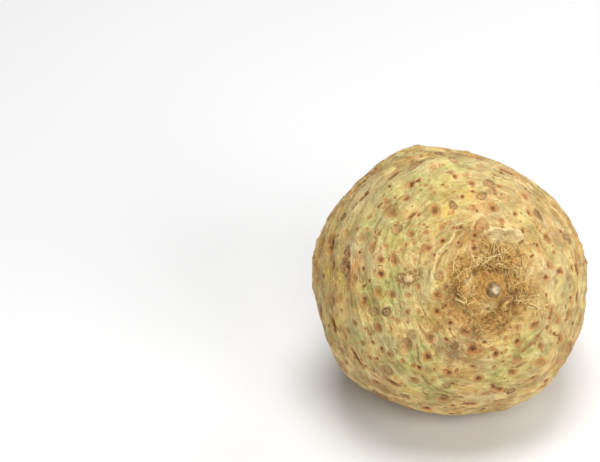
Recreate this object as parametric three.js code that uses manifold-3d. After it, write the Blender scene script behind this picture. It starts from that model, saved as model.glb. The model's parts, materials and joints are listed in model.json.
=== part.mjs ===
// A trimmed celeriac root, lying on its flank on a small flat spot.
//
// The root is one grown body: a knobbly round swelling with a sunken root end, where the tap root was
// cut to a stub in a tuft of dry rootlets, rows of scars where side roots were pared off, growth folds
// that run round the root end, and a crown at the back where the leaf stalks were cut short.
//
// Part frame: millimetres, +Z up, the origin on the table under the middle of the root.
// Root frame: the centre of the swelling, +X to the right, +Y up and +Z out of the root's front.

import * as THREE from "three";
import { ConvexHull } from "three/addons/math/ConvexHull.js";
import { mergeVertices } from "three/addons/utils/BufferGeometryUtils.js";
import Module from "manifold-3d";

// ---------------------------------------------------------------- driving dimensions (mm, degrees)

const GIRTH_RADIUS = 57; // centre to the skin round the widest girth
const TIP_REACH = 55; // centre to the root end, before its dish
const CROWN_REACH = 52; // centre to the crown, before the knife
const CROWN_CUT = 48; // centre to the plane of the crown's cut
const CENTRE_HEIGHT = 55; // the centre above the table; the flat spot is what this cuts off
const FRONT_RISE = 38; // the front looks this far above the horizontal

const DISH = { radius: 24, depth: 4.2 };
const MOUND = { radius: 9, height: 2.2 };
const STUB = { foot: 3.4, head: 2.3, height: 2.6, sunk: 2 };
const ROOTLETS = { radius: 0.5, shortest: 5, longest: 11, lowest: 0.8, highest: 1.9, curl: 1, sunk: 2.2 };
const STALKS = { count: 13, nearest: 3.4, step: 1.12, thickness: 2.5, tallest: 4.2, sunk: 3 };

const WHORLS = { first: 31, last: 139, pitchAtTip: 8, pitchAtCrown: 12.5 };
const SKIN_PITCH = { tip: 2.35, body: 3.95, crown: 3.25 };

const SEED = { scars: 23, lumps: 37, skin: 41, rootlets: 53, stalks: 67 };

// ---------------------------------------------------------------- the root's own frame

const radians = THREE.MathUtils.degToRad;
const TIP = new THREE.Vector3(0.34, -0.065, 0.94).normalize(); // towards the root end
const CROWN = TIP.clone().negate();
const TIP_RIGHT = new THREE.Vector3(1, 0, 0).addScaledVector(TIP, -TIP.x).normalize();
const TIP_UP = TIP.clone().cross(TIP_RIGHT);

/** A repeatable stream of numbers from 0 to 1. */
function drawFrom(seed) {
  let state = seed >>> 0;
  return () => {
    state = (state + 0x6d2b79f5) >>> 0;
    let t = Math.imul(state ^ (state >>> 15), state | 1);
    t ^= t + Math.imul(t ^ (t >>> 7), t | 61);
    return ((t ^ (t >>> 14)) >>> 0) / 4294967296;
  };
}

const mix = (low, high, share) => low + (high - low) * share;
const bell = (x, width) => Math.exp(-((x / width) ** 2));

/** 0 below low, 1 above high, and a smooth step between them. */
function smooth(low, high, x) {
  const share = THREE.MathUtils.clamp((x - low) / (high - low), 0, 1);
  return share * share * (3 - 2 * share);
}

/** How far a direction lies from the root end along the skin, in mm. */
const tipDistance = (direction) => GIRTH_RADIUS * direction.angleTo(TIP);
const crownDistance = (direction) => GIRTH_RADIUS * direction.angleTo(CROWN);

/** A direction's bearing round the root end, in radians, 0 to the right and turning upwards. */
const bearingOf = (direction) => Math.atan2(direction.dot(TIP_UP), direction.dot(TIP_RIGHT));

/** The direction at an arc distance from a pole, at a bearing round the root end. */
function onSkin(distance, bearing, pole = TIP) {
  const angle = distance / GIRTH_RADIUS;
  return new THREE.Vector3()
    .addScaledVector(TIP_RIGHT, Math.cos(bearing))
    .addScaledVector(TIP_UP, Math.sin(bearing))
    .multiplyScalar(Math.sin(angle))
    .addScaledVector(pole, Math.cos(angle));
}

/** The direction of a place read off the front of the root, in mm right of and above its middle. */
function onFront(right, up) {
  const depth = Math.sqrt(Math.max(GIRTH_RADIUS ** 2 - right ** 2 - up ** 2, 25));
  return new THREE.Vector3(right, up, depth).normalize();
}

// ---------------------------------------------------------------- swellings, lumps and growth folds

// Broad swellings and hollows of this root: where they face, how high and how wide across.
const SWELLINGS = [
  { facing: [0.78, -0.62, 0.1], height: 3.4, spread: 26 },
  { facing: [-0.35, 0.94, 0], height: 1.6, spread: 24 },
  { facing: [0.5, 0.87, 0], height: -2.6, spread: 30 },
  { facing: [0.26, 0.97, 0], height: -1.3, spread: 13 },
  { facing: [-0.16, -0.98, 0], height: -1.6, spread: 17 },
  { facing: [-0.7, -0.7, 0.05], height: 0.4, spread: 20 },
  { facing: [-0.94, -0.34, 0], height: 0.9, spread: 9 },
  { facing: [0.99, 0.15, 0.05], height: 1.5, spread: 16 },
  { facing: [-0.6, 0.25, -0.75], height: 1.8, spread: 26 },
  { facing: [0.5, 0.35, -0.8], height: 1.5, spread: 24 },
].map(({ facing, height, spread }) => ({
  facing: new THREE.Vector3(...facing).normalize(),
  height,
  spread: radians(spread),
}));

// Raised folds of skin round the root end: how high, how wide, and the places on the front they run through.
const FOLDS = [
  { height: 1.8, width: 1.9, crest: [[14.7, 20], [20, 21.9], [26.4, 21.6], [30.3, 17.4], [39, 3]] },
  { height: 1.2, width: 1.6, crest: [[39, 3], [41, 1], [45, 6.6]] },
  { height: 1.4, width: 1.7, crest: [[-7, 0], [-6.2, 5.1], [-4.5, 11.5], [0.6, 15.8], [2.8, 20.4]] },
  { height: 0.9, width: 1.5, crest: [[-2.3, -2.2], [-1.3, 5], [0.6, 13]] },
  { height: 1.0, width: 1.7, crest: [[-2.6, -8], [-1, -14], [3, -19], [9, -21.5]] },
  { height: 0.8, width: 1.6, crest: [[20.4, 27.5], [12, 27.2], [6, 24.5], [1.5, 21.8]] },
  { height: 0.8, width: 1.8, crest: [[-14, -27], [-13, -32], [-10.5, -36], [-5, -38]] },
  { height: 0.8, width: 1.8, crest: [[27, -36.5], [33, -34], [38, -29.5]] },
  { height: 0.8, width: 1.8, crest: [[45.5, 9], [47, 0], [46.5, -9]] },
].map(({ height, width, crest }) => ({ height, width, crest: crest.map((place) => onFront(...place)) }));

/** How far a direction lies from a row of places on the skin, in mm. */
function lineDistance(direction, places) {
  const nearest = new THREE.Vector3();
  const distances = places.slice(1).map((place, i) => {
    new THREE.Line3(places[i], place).closestPointToPoint(direction, true, nearest);
    return GIRTH_RADIUS * nearest.distanceTo(direction);
  });
  return Math.min(...distances);
}

const LUMPS = { count: 9, longest: 46, shortest: 20, height: 0.3 };

/** Plane waves whose sum gives the root its uneven roundness. */
const lumpWaves = (() => {
  const draw = drawFrom(SEED.lumps);
  return Array.from({ length: LUMPS.count }, () => {
    const across = new THREE.Vector3(draw() - 0.5, draw() - 0.5, draw() - 0.5).normalize();
    const length = mix(LUMPS.shortest, LUMPS.longest, draw());
    across.multiplyScalar((2 * Math.PI * GIRTH_RADIUS) / length);
    return { across, phase: 2 * Math.PI * draw() };
  });
})();

const ellipsoid = (direction) => {
  const along = direction.dot(TIP);
  const reach = along > 0 ? TIP_REACH : CROWN_REACH;
  return 1 / Math.sqrt((1 - along ** 2) / GIRTH_RADIUS ** 2 + along ** 2 / reach ** 2);
};

const swelling = (direction) =>
  SWELLINGS.reduce((sum, s) => sum + s.height * bell(direction.angleTo(s.facing), s.spread), 0);

const lumpiness = (direction) =>
  lumpWaves.reduce((sum, wave) => sum + LUMPS.height * Math.sin(direction.dot(wave.across) + wave.phase), 0);

/** Low rolls that ring the root end like wrinkles, and wander as they go round. */
function growthRoll(distance, bearing) {
  const wander = 3 * Math.sin(2 * bearing + 0.8) + 2 * Math.sin(5 * bearing + distance / 16);
  const roll = Math.sin((2 * Math.PI * (distance + wander)) / 12.5);
  return 0.42 * roll * smooth(22, 34, distance) * (1 - smooth(128, 142, distance));
}

/** The sunken root end: a dish, the mound that the tap root's stub stands on, and the folds round it. */
function rootEnd(direction, distance) {
  const dish = -DISH.depth * (1 - smooth(0.35 * DISH.radius, 1.15 * DISH.radius, distance));
  const mound = MOUND.height * (1 - smooth(0.2 * MOUND.radius, MOUND.radius, distance));
  const folds = FOLDS.map(({ height, width, crest }) => height * bell(lineDistance(direction, crest), width));
  return dish + mound + Math.max(...folds);
}

/** Rings of pared-off leaf bases on the shoulder round the crown. */
function leafBaseRings(distance, bearing) {
  const wander = 1.6 * Math.sin(3 * bearing) + 1.1 * Math.sin(7 * bearing + 2);
  const ring = Math.sin((2 * Math.PI * (distance + wander)) / 5.4);
  return 0.7 * ring * smooth(20, 24, distance) * (1 - smooth(33, 39, distance));
}

// ---------------------------------------------------------------- scars of the pared-off side roots

// How each kind of scar stands out of or sinks into the skin. s is 0 at its middle and 1 at its rim.
const SCAR_RELIEF = {
  spot: (s) => -0.95 * Math.max(0, 1 - s * s) + 0.45 * bell(s - 1.1, 0.4),
  ring: (s) => 0.55 * bell(s, 0.35) - 0.6 * bell(s - 0.66, 0.22) + 0.85 * bell(s - 1.08, 0.28),
  patch: (s) => -1.1 * Math.max(0, 1 - s * s) + 0.65 * bell(s - 1.1, 0.32),
  slit: (s) => -1.4 * Math.max(0, 1 - s * s) + 0.55 * bell(s - 1.35, 0.45),
  nub: (s) => 2.1 * Math.sqrt(Math.max(0, 1 - s * s)) - 0.3 * bell(s - 1.25, 0.3),
};
const RELIEF_RADIUS = 2.1; // a scar of this radius has the relief above; others have more or less

// The scars that stand out most from the front, each [right, up, radius, stretch round the root end].
const FRONT_SCARS = {
  ring: [
    [-44, 27, 2.0, 1], [-26, -13, 1.9, 1], [2, 32, 1.8, 1], [38, 28, 2.2, 1.3], [-15, -22, 2.0, 1],
    [-26, -38, 2.1, 1.3], [26, -47, 2.3, 1.5], [-4, 2, 2.0, 1], [-32, -38, 1.5, 1], [14, 36, 2.0, 1.6],
    [22, 36, 1.7, 1.5], [39, -34, 2.1, 1], [-32, -13, 2.1, 1],
  ],
  patch: [
    [-43, 6, 3.0, 1], [-43, 12, 2.1, 1.4], [-19, -28, 2.8, 1], [-36, 19, 3.2, 1], [-24, 29, 3.0, 1],
    [-6, 30, 2.6, 1], [-22, 22, 2.1, 1], [-14, 49, 2.1, 1.8], [14, 23, 2.6, 1], [5, 54, 1.9, 2],
    [49, 19, 2.1, 1], [18, 41, 2.6, 1], [29, -34, 2.6, 1],
  ],
  slit: [
    [-50, 16, 1.4, 2.8], [-49, 6, 1.3, 2.2], [-38, 41, 1.1, 4], [-36, 36, 1.3, 3], [-24, 45, 1.3, 3],
    [-16, 28, 0.9, 4], [-49, -19, 1.4, 2.5], [-39, -33, 0.9, 5], [-24, -43, 1.0, 3.5], [-19, -49, 1.1, 3],
    [9, -52, 1.0, 4.5], [-2, -49, 1.0, 3.5], [54, 5, 1.3, 2.4], [54, -7, 1.0, 3], [46, 3, 1.0, 2.5],
    [25, 48, 1.0, 4], [36, -19, 1.3, 2],
  ],
  spot: [
    [-18, 35, 1.9, 1], [-26, 34, 1.7, 1], [-16, 41, 1.6, 1], [-16, 20, 1.8, 1], [-32, 14, 2.0, 1.4],
    [-9, 14, 1.9, 1], [-29, 9, 2.0, 1], [-23, 9, 2.1, 1.2], [-29, 3, 2.0, 1], [-30, -5, 2.3, 1],
    [-24, -6, 2.0, 1], [-36, -8, 1.8, 1.5], [-40, -18, 1.8, 1], [-30, -20, 2.1, 1], [-36, -26, 1.6, 1],
    [-25, -31, 2.1, 1], [-31, -43, 1.8, 1], [-15, -42, 2.3, 1], [-9, -32, 2.2, 1], [-8, -24, 2.1, 1],
    [-5, -13, 2.0, 1], [-5, -6, 2.0, 1], [7, -21, 2.1, 1], [10, -29, 2.4, 1], [20, -31, 2.0, 1],
    [29, -27, 2.0, 1], [39, -27, 2.5, 1], [27, -40, 2.3, 1.2], [13, -41, 2.4, 1], [0, -39, 2.0, 1],
    [21, -50, 2.2, 1], [36, -41, 2.1, 1.3], [47, -24, 2.0, 1], [44, -13, 2.0, 1.4], [51, -14, 2.1, 1],
    [19, 31, 2.2, 1], [28, 28, 1.6, 1], [34, 29, 1.8, 1], [32, 22, 2.0, 1], [38, 15, 2.0, 1],
    [44, 8, 2.0, 1], [46, 30, 2.1, 1],
  ],
  nub: [[-17, 1, 1.9, 1]],
};

/** A scar at a direction, with the way round the root end there, which it may be stretched along. */
function scarAt(kind, direction, radius, stretch) {
  const round = TIP.clone().cross(direction).normalize();
  return { kind, direction, radius, stretch, round, out: direction.clone().cross(round) };
}

/** The rest of the scars, in uneven rows round the root end that open out towards the crown. */
function whorledScars(taken) {
  const draw = drawFrom(SEED.scars);
  const scars = [];
  let distance = WHORLS.first;
  while (distance < WHORLS.last) {
    const along = (distance - WHORLS.first) / (WHORLS.last - WHORLS.first);
    const pitch = mix(WHORLS.pitchAtTip, WHORLS.pitchAtCrown, along);
    const girth = 2 * Math.PI * GIRTH_RADIUS * Math.sin(distance / GIRTH_RADIUS);
    const inRow = Math.round(girth / (1.15 * pitch));
    const turned = 2 * Math.PI * draw();
    for (let i = 0; i < inRow; i += 1) {
      const bearing = turned + (2 * Math.PI * (i + 0.7 * (draw() - 0.5))) / inRow;
      const direction = onSkin(distance + 0.7 * pitch * (draw() - 0.5), bearing);
      const size = draw();
      const lot = draw();
      const radius = mix(1.3, 2.2, size) + (lot > 0.86 ? 1.1 * along + 0.4 : 0);
      const kind = lot > 0.86 ? "patch" : lot > 0.72 ? "ring" : lot > 0.64 ? "slit" : "spot";
      const stretch = kind === "slit" ? mix(2.2, 3.6, size) : mix(1, 1.4, size);
      const room = (other) => GIRTH_RADIUS * other.direction.angleTo(direction) > 3.4 + radius + other.radius;
      if ([...taken, ...scars].every(room)) {
        scars.push(scarAt(kind, direction, kind === "slit" ? 0.6 * radius : radius, stretch));
      }
    }
    distance += pitch;
  }
  return scars;
}

const frontScars = Object.entries(FRONT_SCARS).flatMap(([kind, sites]) =>
  sites.map(([right, up, radius, stretch]) => scarAt(kind, onFront(right, up), radius, stretch)),
);
const scars = [...frontScars, ...whorledScars(frontScars)];

/** What the scars near a direction add to the skin there, in mm. */
function scarring(direction) {
  let height = 0;
  for (const scar of scars) {
    const facing = direction.dot(scar.direction);
    if (facing < 0.96) continue;
    const along = (GIRTH_RADIUS * direction.dot(scar.round)) / (scar.radius * scar.stretch);
    const across = (GIRTH_RADIUS * direction.dot(scar.out)) / scar.radius;
    const s = Math.hypot(along, across);
    if (s < 2.6) height += SCAR_RELIEF[scar.kind](s) * (scar.radius / RELIEF_RADIUS);
  }
  return height;
}

// ---------------------------------------------------------------- the skin

/** The distance from the centre to the skin in a direction. */
function skinRadius(direction) {
  const distance = tipDistance(direction);
  const toCrown = crownDistance(direction);
  const bearing = bearingOf(direction);
  const grown =
    ellipsoid(direction) + swelling(direction) + lumpiness(direction) + growthRoll(distance, bearing) +
    rootEnd(direction, distance) + leafBaseRings(toCrown, bearing) + scarring(direction);
  const facingCrown = direction.dot(CROWN);
  return facingCrown > 0.6 ? Math.min(grown, CROWN_CUT / facingCrown) : grown;
}

const onSurface = (direction) => direction.clone().multiplyScalar(skinRadius(direction));

/** Directions for the skin's corners: on each scar and round it, and evenly over the rest. */
function skinDirections() {
  const draw = drawFrom(SEED.skin);
  const kept = [];
  const keep = (direction, clearance) => {
    const nearest = Math.cos(clearance / GIRTH_RADIUS);
    if (kept.every((other) => other.dot(direction) < nearest)) kept.push(direction.normalize());
  };
  for (const scar of scars) kept.push(scar.direction);
  for (const [s, corners, clearance] of [[1.05, 6, 1.1], [2.1, 7, 2.2]]) {
    for (const scar of scars) {
      for (let i = 0; i < corners; i += 1) {
        const turn = (2 * Math.PI * (i + 0.5 * (s > 2))) / corners;
        const reach = (s * scar.radius) / GIRTH_RADIUS;
        const place = scar.direction
          .clone()
          .addScaledVector(scar.round, reach * scar.stretch * Math.cos(turn))
          .addScaledVector(scar.out, reach * Math.sin(turn));
        keep(place.normalize(), clearance);
      }
    }
  }
  const filler = 30000;
  for (let i = 0; i < filler; i += 1) {
    const turn = i * Math.PI * (3 - Math.sqrt(5)) + 0.3 * draw();
    const distance = GIRTH_RADIUS * Math.acos(1 - (2 * (i + 0.5)) / filler);
    const toCrown = Math.PI * GIRTH_RADIUS - distance;
    const pitch = distance < 32 ? SKIN_PITCH.tip : toCrown < 38 ? SKIN_PITCH.crown : SKIN_PITCH.body;
    keep(onSkin(distance, turn), pitch);
  }
  return kept;
}

/** The skin as one closed mesh: the sphere's own triangles between the directions, moved out to the skin. */
function skinGeometry() {
  const directions = skinDirections();
  const index = new Map(directions.map((direction, i) => [direction, i]));
  const triangles = [];
  for (const face of new ConvexHull().setFromPoints(directions).faces) {
    const corners = [];
    let edge = face.edge;
    do {
      corners.push(index.get(edge.head().point));
      edge = edge.next;
    } while (edge !== face.edge);
    for (let i = 1; i + 1 < corners.length; i += 1) {
      triangles.push(corners[0], corners[i], corners[i + 1]);
    }
  }
  const positions = new Float32Array(directions.flatMap((direction) => onSurface(direction).toArray()));
  return new THREE.BufferGeometry()
    .setAttribute("position", new THREE.BufferAttribute(positions, 3))
    .setIndex(triangles);
}

// ---------------------------------------------------------------- tap root stub, rootlets and stalk bases

const UPRIGHT = new THREE.Vector3(0, 0, 1);

/** The rotation that stands +Z along a direction. */
const standing = (direction) => new THREE.Quaternion().setFromUnitVectors(UPRIGHT, direction);

/** The cut tap root: a low round stub on the mound in the dish. */
function stubGeometry() {
  const { foot, head, height, sunk } = STUB;
  const outline = [
    [0, -sunk], [foot, -sunk], [foot, 0], [head + 0.3, 0.45 * height], [head, 0.8 * height],
    [0.55 * head, height], [0, height + 0.15],
  ].map(([radius, along]) => new THREE.Vector2(radius, along));
  return new THREE.LatheGeometry(outline, 10)
    .rotateX(Math.PI / 2)
    .applyQuaternion(standing(TIP))
    .translate(...onSurface(TIP).toArray());
}

// The clumps that the rootlets grow in, each [right, up, radius, how many].
const CLUMPS = [
  [11.7, 8.1, 4.5, 9], [20.7, 10.7, 5, 9], [26.4, 9.4, 4, 6], [33, 1, 5, 8], [35, -8, 5, 6],
  [7, -9.4, 2.5, 2], [3.4, 6, 4, 2],
];

/** One dry rootlet of a clump: it leaves the skin, lies a little above it any way it likes and ends free. */
function rootletGeometry([right, up, clumpRadius], draw) {
  const away = clumpRadius * Math.sqrt(draw());
  const turn = 2 * Math.PI * draw();
  const heading = 2 * Math.PI * draw();
  const length = mix(ROOTLETS.shortest, ROOTLETS.longest, draw());
  const curl = mix(-ROOTLETS.curl, ROOTLETS.curl, draw());
  const lift = mix(ROOTLETS.lowest, ROOTLETS.highest, draw());
  const root = onFront(right + away * Math.cos(turn), up + away * Math.sin(turn));
  const forwards = TIP_RIGHT.clone()
    .multiplyScalar(Math.cos(heading))
    .addScaledVector(TIP_UP, Math.sin(heading));
  const sideways = TIP.clone().cross(forwards);
  const points = [0, 0.2, 0.6, 1].map((share) => {
    const reach = (share * length) / GIRTH_RADIUS;
    const place = root.clone().addScaledVector(forwards, reach);
    place.addScaledVector(sideways, curl * reach * share).normalize();
    const height = share === 0 ? -ROOTLETS.sunk : lift * (0.7 + 0.3 * Math.sin(Math.PI * share));
    return place.multiplyScalar(skinRadius(place) + height);
  });
  const corner = new THREE.Vector2(ROOTLETS.radius, 0);
  const section = new THREE.Shape(
    [90, 210, 330].map((degrees) => corner.clone().rotateAround(new THREE.Vector2(), radians(degrees))),
  );
  return new THREE.ExtrudeGeometry(section, { steps: 4, extrudePath: new THREE.CatmullRomCurve3(points) });
}

/** One cut leaf stalk base: a short upright crescent that opens towards the bud. */
function stalkGeometry(order, draw) {
  const { nearest, step, thickness, tallest, sunk } = STALKS;
  const radius = nearest + order * step;
  const half = radians(mix(78, 40, order / STALKS.count));
  const height = tallest * mix(0.55, 1, draw());
  const outline = new THREE.Shape();
  outline.absarc(0, 0, radius + thickness / 2, -half, half, false);
  outline.absarc(0, 0, radius - thickness / 2, 0.86 * half, -0.86 * half, true);
  outline.closePath();
  return new THREE.ExtrudeGeometry(outline, { depth: sunk + height, bevelEnabled: false, curveSegments: 3 })
    .translate(0, 0, CROWN_CUT - sunk)
    .rotateZ(order * radians(137.5) + 0.3 * draw())
    .applyQuaternion(standing(CROWN));
}

// ---------------------------------------------------------------- joining and laying down

const wasm = await Module();
wasm.setup();

/** A closed mesh as a manifold-3d solid, with its shared corners merged. */
function solidOf(geometry) {
  const bare = new THREE.BufferGeometry().setAttribute("position", geometry.getAttribute("position"));
  if (geometry.index) bare.setIndex(geometry.index);
  const merged = mergeVertices(bare, 1e-4);
  const mesh = new wasm.Mesh({
    numProp: 3,
    vertProperties: merged.getAttribute("position").array,
    triVerts: new Uint32Array(merged.index.array),
  });
  return new wasm.Manifold(mesh);
}

/** A manifold-3d solid as a mesh geometry. */
function geometryOf(solid) {
  const { vertProperties, triVerts } = solid.getMesh();
  const geometry = new THREE.BufferGeometry()
    .setAttribute("position", new THREE.BufferAttribute(vertProperties, 3))
    .setIndex(new THREE.BufferAttribute(triVerts, 1));
  geometry.computeVertexNormals();
  return geometry;
}

const drawRootlet = drawFrom(SEED.rootlets);
const drawStalk = drawFrom(SEED.stalks);
const grown = [
  skinGeometry(),
  stubGeometry(),
  ...CLUMPS.flatMap((clump) => Array.from({ length: clump[3] }, () => rootletGeometry(clump, drawRootlet))),
  ...Array.from({ length: STALKS.count }, (_, order) => stalkGeometry(order, drawStalk)),
];

// The root is laid down with its front turned up from the table, and the flat spot is cut at the table.
const laidDown = new THREE.Matrix4()
  .makeTranslation(0, 0, CENTRE_HEIGHT)
  .multiply(new THREE.Matrix4().makeRotationX(radians(90 - FRONT_RISE)));
const whole = wasm.Manifold.union(grown.map((geometry) => solidOf(geometry.applyMatrix4(laidDown))));
const belowTable = new THREE.BoxGeometry(200, 200, 20).translate(0, 0, -10);
const rooted = whole.subtract(solidOf(belowTable));

const celeriac = new THREE.Mesh(
  geometryOf(rooted),
  new THREE.MeshStandardMaterial({ color: 0xcbb27a, roughness: 0.72, metalness: 0 }),
);
celeriac.name = "celeriac_root";

// The origin is under the middle of the root's box.
const middle = new THREE.Box3().setFromObject(celeriac).getCenter(new THREE.Vector3());
celeriac.position.set(-middle.x, -middle.y, 0);

const part = new THREE.Group();
part.add(celeriac);

export default part;
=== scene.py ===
"""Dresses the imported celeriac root.

The solid celeriac_root is replaced by a finer skin of the same form, with the stub of its tap root, its tuft
of dry rootlets and the cut bases of its leaf stalks. Shapes are worked out in millimetres in the root's own
frame: its origin is the middle of the swelling, X points to the right, Y up and Z out of the root's front.
"""

import json
import logging
import math
from abc import ABC, abstractmethod
from collections.abc import Iterable
from dataclasses import dataclass, field
from enum import Enum
from functools import cached_property, reduce
from typing import Self

import bpy
import numpy as np
from mathutils import Matrix, Vector, noise

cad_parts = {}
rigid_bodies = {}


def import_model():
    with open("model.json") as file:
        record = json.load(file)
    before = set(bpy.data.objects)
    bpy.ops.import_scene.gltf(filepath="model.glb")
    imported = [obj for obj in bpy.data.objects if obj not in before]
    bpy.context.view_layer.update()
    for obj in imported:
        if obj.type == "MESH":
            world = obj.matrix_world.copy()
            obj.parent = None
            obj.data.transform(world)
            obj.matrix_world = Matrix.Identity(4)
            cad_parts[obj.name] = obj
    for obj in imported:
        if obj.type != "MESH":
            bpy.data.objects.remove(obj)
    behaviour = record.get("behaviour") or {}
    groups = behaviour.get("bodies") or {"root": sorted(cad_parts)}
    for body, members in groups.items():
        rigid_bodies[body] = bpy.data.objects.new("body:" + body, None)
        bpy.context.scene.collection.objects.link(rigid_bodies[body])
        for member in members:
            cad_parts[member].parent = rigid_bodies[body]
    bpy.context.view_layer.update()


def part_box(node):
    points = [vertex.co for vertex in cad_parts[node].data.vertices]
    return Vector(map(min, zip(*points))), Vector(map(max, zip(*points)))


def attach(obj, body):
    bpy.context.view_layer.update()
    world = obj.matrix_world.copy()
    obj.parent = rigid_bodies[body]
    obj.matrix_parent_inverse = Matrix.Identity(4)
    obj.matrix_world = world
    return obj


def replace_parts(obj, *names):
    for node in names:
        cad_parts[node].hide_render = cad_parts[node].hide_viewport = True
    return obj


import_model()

log = logging.getLogger("celeriac")

Array = np.ndarray
Row = tuple[float, ...]
Span = tuple[float, float]
Line = tuple[Span, ...]
Colour = tuple[float, float, float, float]
Socket = bpy.types.NodeSocket
Value = float | Socket
Paint = Colour | Socket

MM = 0.001
NODE = "celeriac_root"
FULL_TURN = 2 * math.pi
GOLDEN_ANGLE = 137.5
WHITE = (1.0, 1.0, 1.0, 1.0)

# The cosine of the widest angle that a scar, a mat or a stretch of a line is worked out over.
NEAR_COSINE = 0.96
# Where the measures from scars and lines stop, in scar radii or mm, and those that raise the folds, in mm.
FURTHEST = 4.0
FOLD_REACH = 6.0
# The waves of a scar's rim: how high, as a share of its radius, and how many. Its place sets their phases.
RIM_WAVES = ((0.08, 2), (0.06, 3))
RIM_PHASES = 40.0
# How softly a matted patch fades, in its radii, and how near the knife's level counts as cut, in mm.
MAT_SOFTNESS = 1.1
CUT_TOLERANCE = 0.02


# ---------------------------------------------------------------- small sums


def unit(vector: Iterable[float] | Array) -> Array:
    """Scale a vector, or each row of an array of them, to length 1."""
    values = np.asarray(vector, float)
    return values / np.linalg.norm(values, axis=-1, keepdims=True)


def mix(low: float, high: float, share: float) -> float:
    """Go a share of the way from low to high."""
    return low + (high - low) * share


def bell(offset: Array, width: float) -> Array:
    """Give 1 at no offset, falling away smoothly over the width."""
    return np.exp(-((offset / width) ** 2))


def smooth(low: float, high: float, value: Array | float) -> Array:
    """Give 0 below low, 1 above high, and a smooth step between them."""
    share = np.clip((value - low) / (high - low), 0.0, 1.0)
    return share * share * (3.0 - 2.0 * share)


def angles(directions: Array, facing: Array) -> Array:
    """Measure the angles from unit directions to another one, in radians."""
    return np.arccos(np.clip(directions @ facing, -1.0, 1.0))


def waves(turn: Array, *terms: tuple[float, int, float | Array]) -> Array:
    """Add up waves round a turn, each with its height, how many go round, and its phase."""
    return sum(height * np.sin(count * turn + phase) for height, count, phase in terms)


def soft_noise(places: Array) -> Array:
    """Give a soft noise, about -1 to 1, at each row of places."""
    return np.array([noise.noise(Vector(place)) for place in places])


class Draw:
    """A repeatable stream of numbers from 0 to 1, the same stream as the solid's."""

    WORD = 0xFFFFFFFF
    STRIDE = 0x6D2B79F5

    def __init__(self, seed: int) -> None:
        """Start the stream at a seed."""
        self.state = seed & self.WORD

    def number(self) -> float:
        """Give the next number.

        Returns:
            The number, from 0 to 1.
        """
        self.state = (self.state + self.STRIDE) & self.WORD
        t = ((self.state ^ (self.state >> 15)) * (self.state | 1)) & self.WORD
        t ^= (t + (((t ^ (t >> 7)) * (t | 61)) & self.WORD)) & self.WORD
        return (t ^ (t >> 14)) / (self.WORD + 1)

    def between(self, low: float, high: float) -> float:
        """Give the next number, from low to high."""
        return mix(low, high, self.number())


# ---------------------------------------------------------------- what grows on the root


class ScarKind(Enum):
    """What a pared-off side root has left on the skin."""

    SPOT = "spot"
    RING = "ring"
    PATCH = "patch"
    SLIT = "slit"
    NUB = "nub"


@dataclass(frozen=True)
class Relief:
    """How a kind of scar stands out of or sinks into the skin, in mm.

    Its middle is a bowl, or a knob where its depth is negative, and the power 0.5 makes it a half ball. Round
    that go raised or sunken rings, each with its height, how many scar radii out it lies, and its width.
    """

    depth: float
    rings: tuple[Row, ...]
    power: float = 1.0

    def height(self, reach: Array) -> Array:
        """Give the height at some scar radii from the middle."""
        bowl = np.clip(1 - reach * reach, 0, None) ** self.power
        return sum(rise * bell(reach - out, width) for rise, out, width in self.rings) - self.depth * bowl


RELIEFS = {
    ScarKind.SPOT: Relief(0.95, ((0.45, 1.1, 0.4),)),
    ScarKind.RING: Relief(0.0, ((0.55, 0.0, 0.35), (-0.6, 0.66, 0.22), (0.85, 1.08, 0.28))),
    ScarKind.PATCH: Relief(1.1, ((0.65, 1.1, 0.32),)),
    ScarKind.SLIT: Relief(1.4, ((0.55, 1.35, 0.45),)),
    ScarKind.NUB: Relief(-1.7, ((-0.5, 1.2, 0.3),), power=0.5),
}

# The kinds that the skin's material tells apart, in the order of its attribute's channels.
MARKED_KINDS = (ScarKind.RING, ScarKind.PATCH, ScarKind.SLIT, ScarKind.NUB)

# How rare the kinds are in the drawn rows: the least lot that gives each one. The rest are spots.
KIND_LOTS = ((0.86, ScarKind.PATCH), (0.72, ScarKind.RING), (0.64, ScarKind.SLIT))


@dataclass(frozen=True)
class Blot:
    """A roundish place on the skin: where it faces, its radius, and its stretch round the root end."""

    direction: Array
    round: Array
    inwards: Array
    radius: float
    stretch: float

    @classmethod
    def facing(cls, direction: Array, tip: Array, radius: float, stretch: float, *rest: object) -> Self:
        """Mark a place.

        Args:
            direction: Where it faces.
            tip: Where the root end faces, round which the place is stretched.
            radius: Its radius in mm.
            stretch: How many times longer than wide it is.
            rest: What else such a place has.

        Returns:
            The place.
        """
        round_ = unit(np.cross(tip, direction))
        return cls(direction, round_, np.cross(direction, round_), radius, stretch, *rest)

    def offset(self, directions: Array, girth_radius: float) -> Array:
        """Measure where directions lie from the middle.

        Args:
            directions: Unit directions, one to a row.
            girth_radius: The root's radius in mm.

        Returns:
            How far each lies round and inwards, the rim being 1 away. The rim is not quite round.
        """
        along = girth_radius * (directions @ self.round) / (self.radius * self.stretch)
        across = girth_radius * (directions @ self.inwards) / self.radius
        rim = ((*wave, phase) for wave, phase in zip(RIM_WAVES, self.direction * RIM_PHASES))
        uneven = 1 + waves(np.arctan2(across, along), *rim)
        return np.column_stack((along * uneven, across * uneven))

    def reach(self, directions: Array, girth_radius: float) -> Array:
        """Measure how many radii away from the middle directions lie."""
        return np.linalg.norm(self.offset(directions, girth_radius), axis=1)

    def near(self, directions: Array) -> Array:
        """Find the rows of directions that lie round the place."""
        return np.flatnonzero(directions @ self.direction > NEAR_COSINE)


@dataclass(frozen=True)
class Scar(Blot):
    """One scar: a place with a kind, and a tone from 0 to 1."""

    kind: ScarKind
    tone: float


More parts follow.
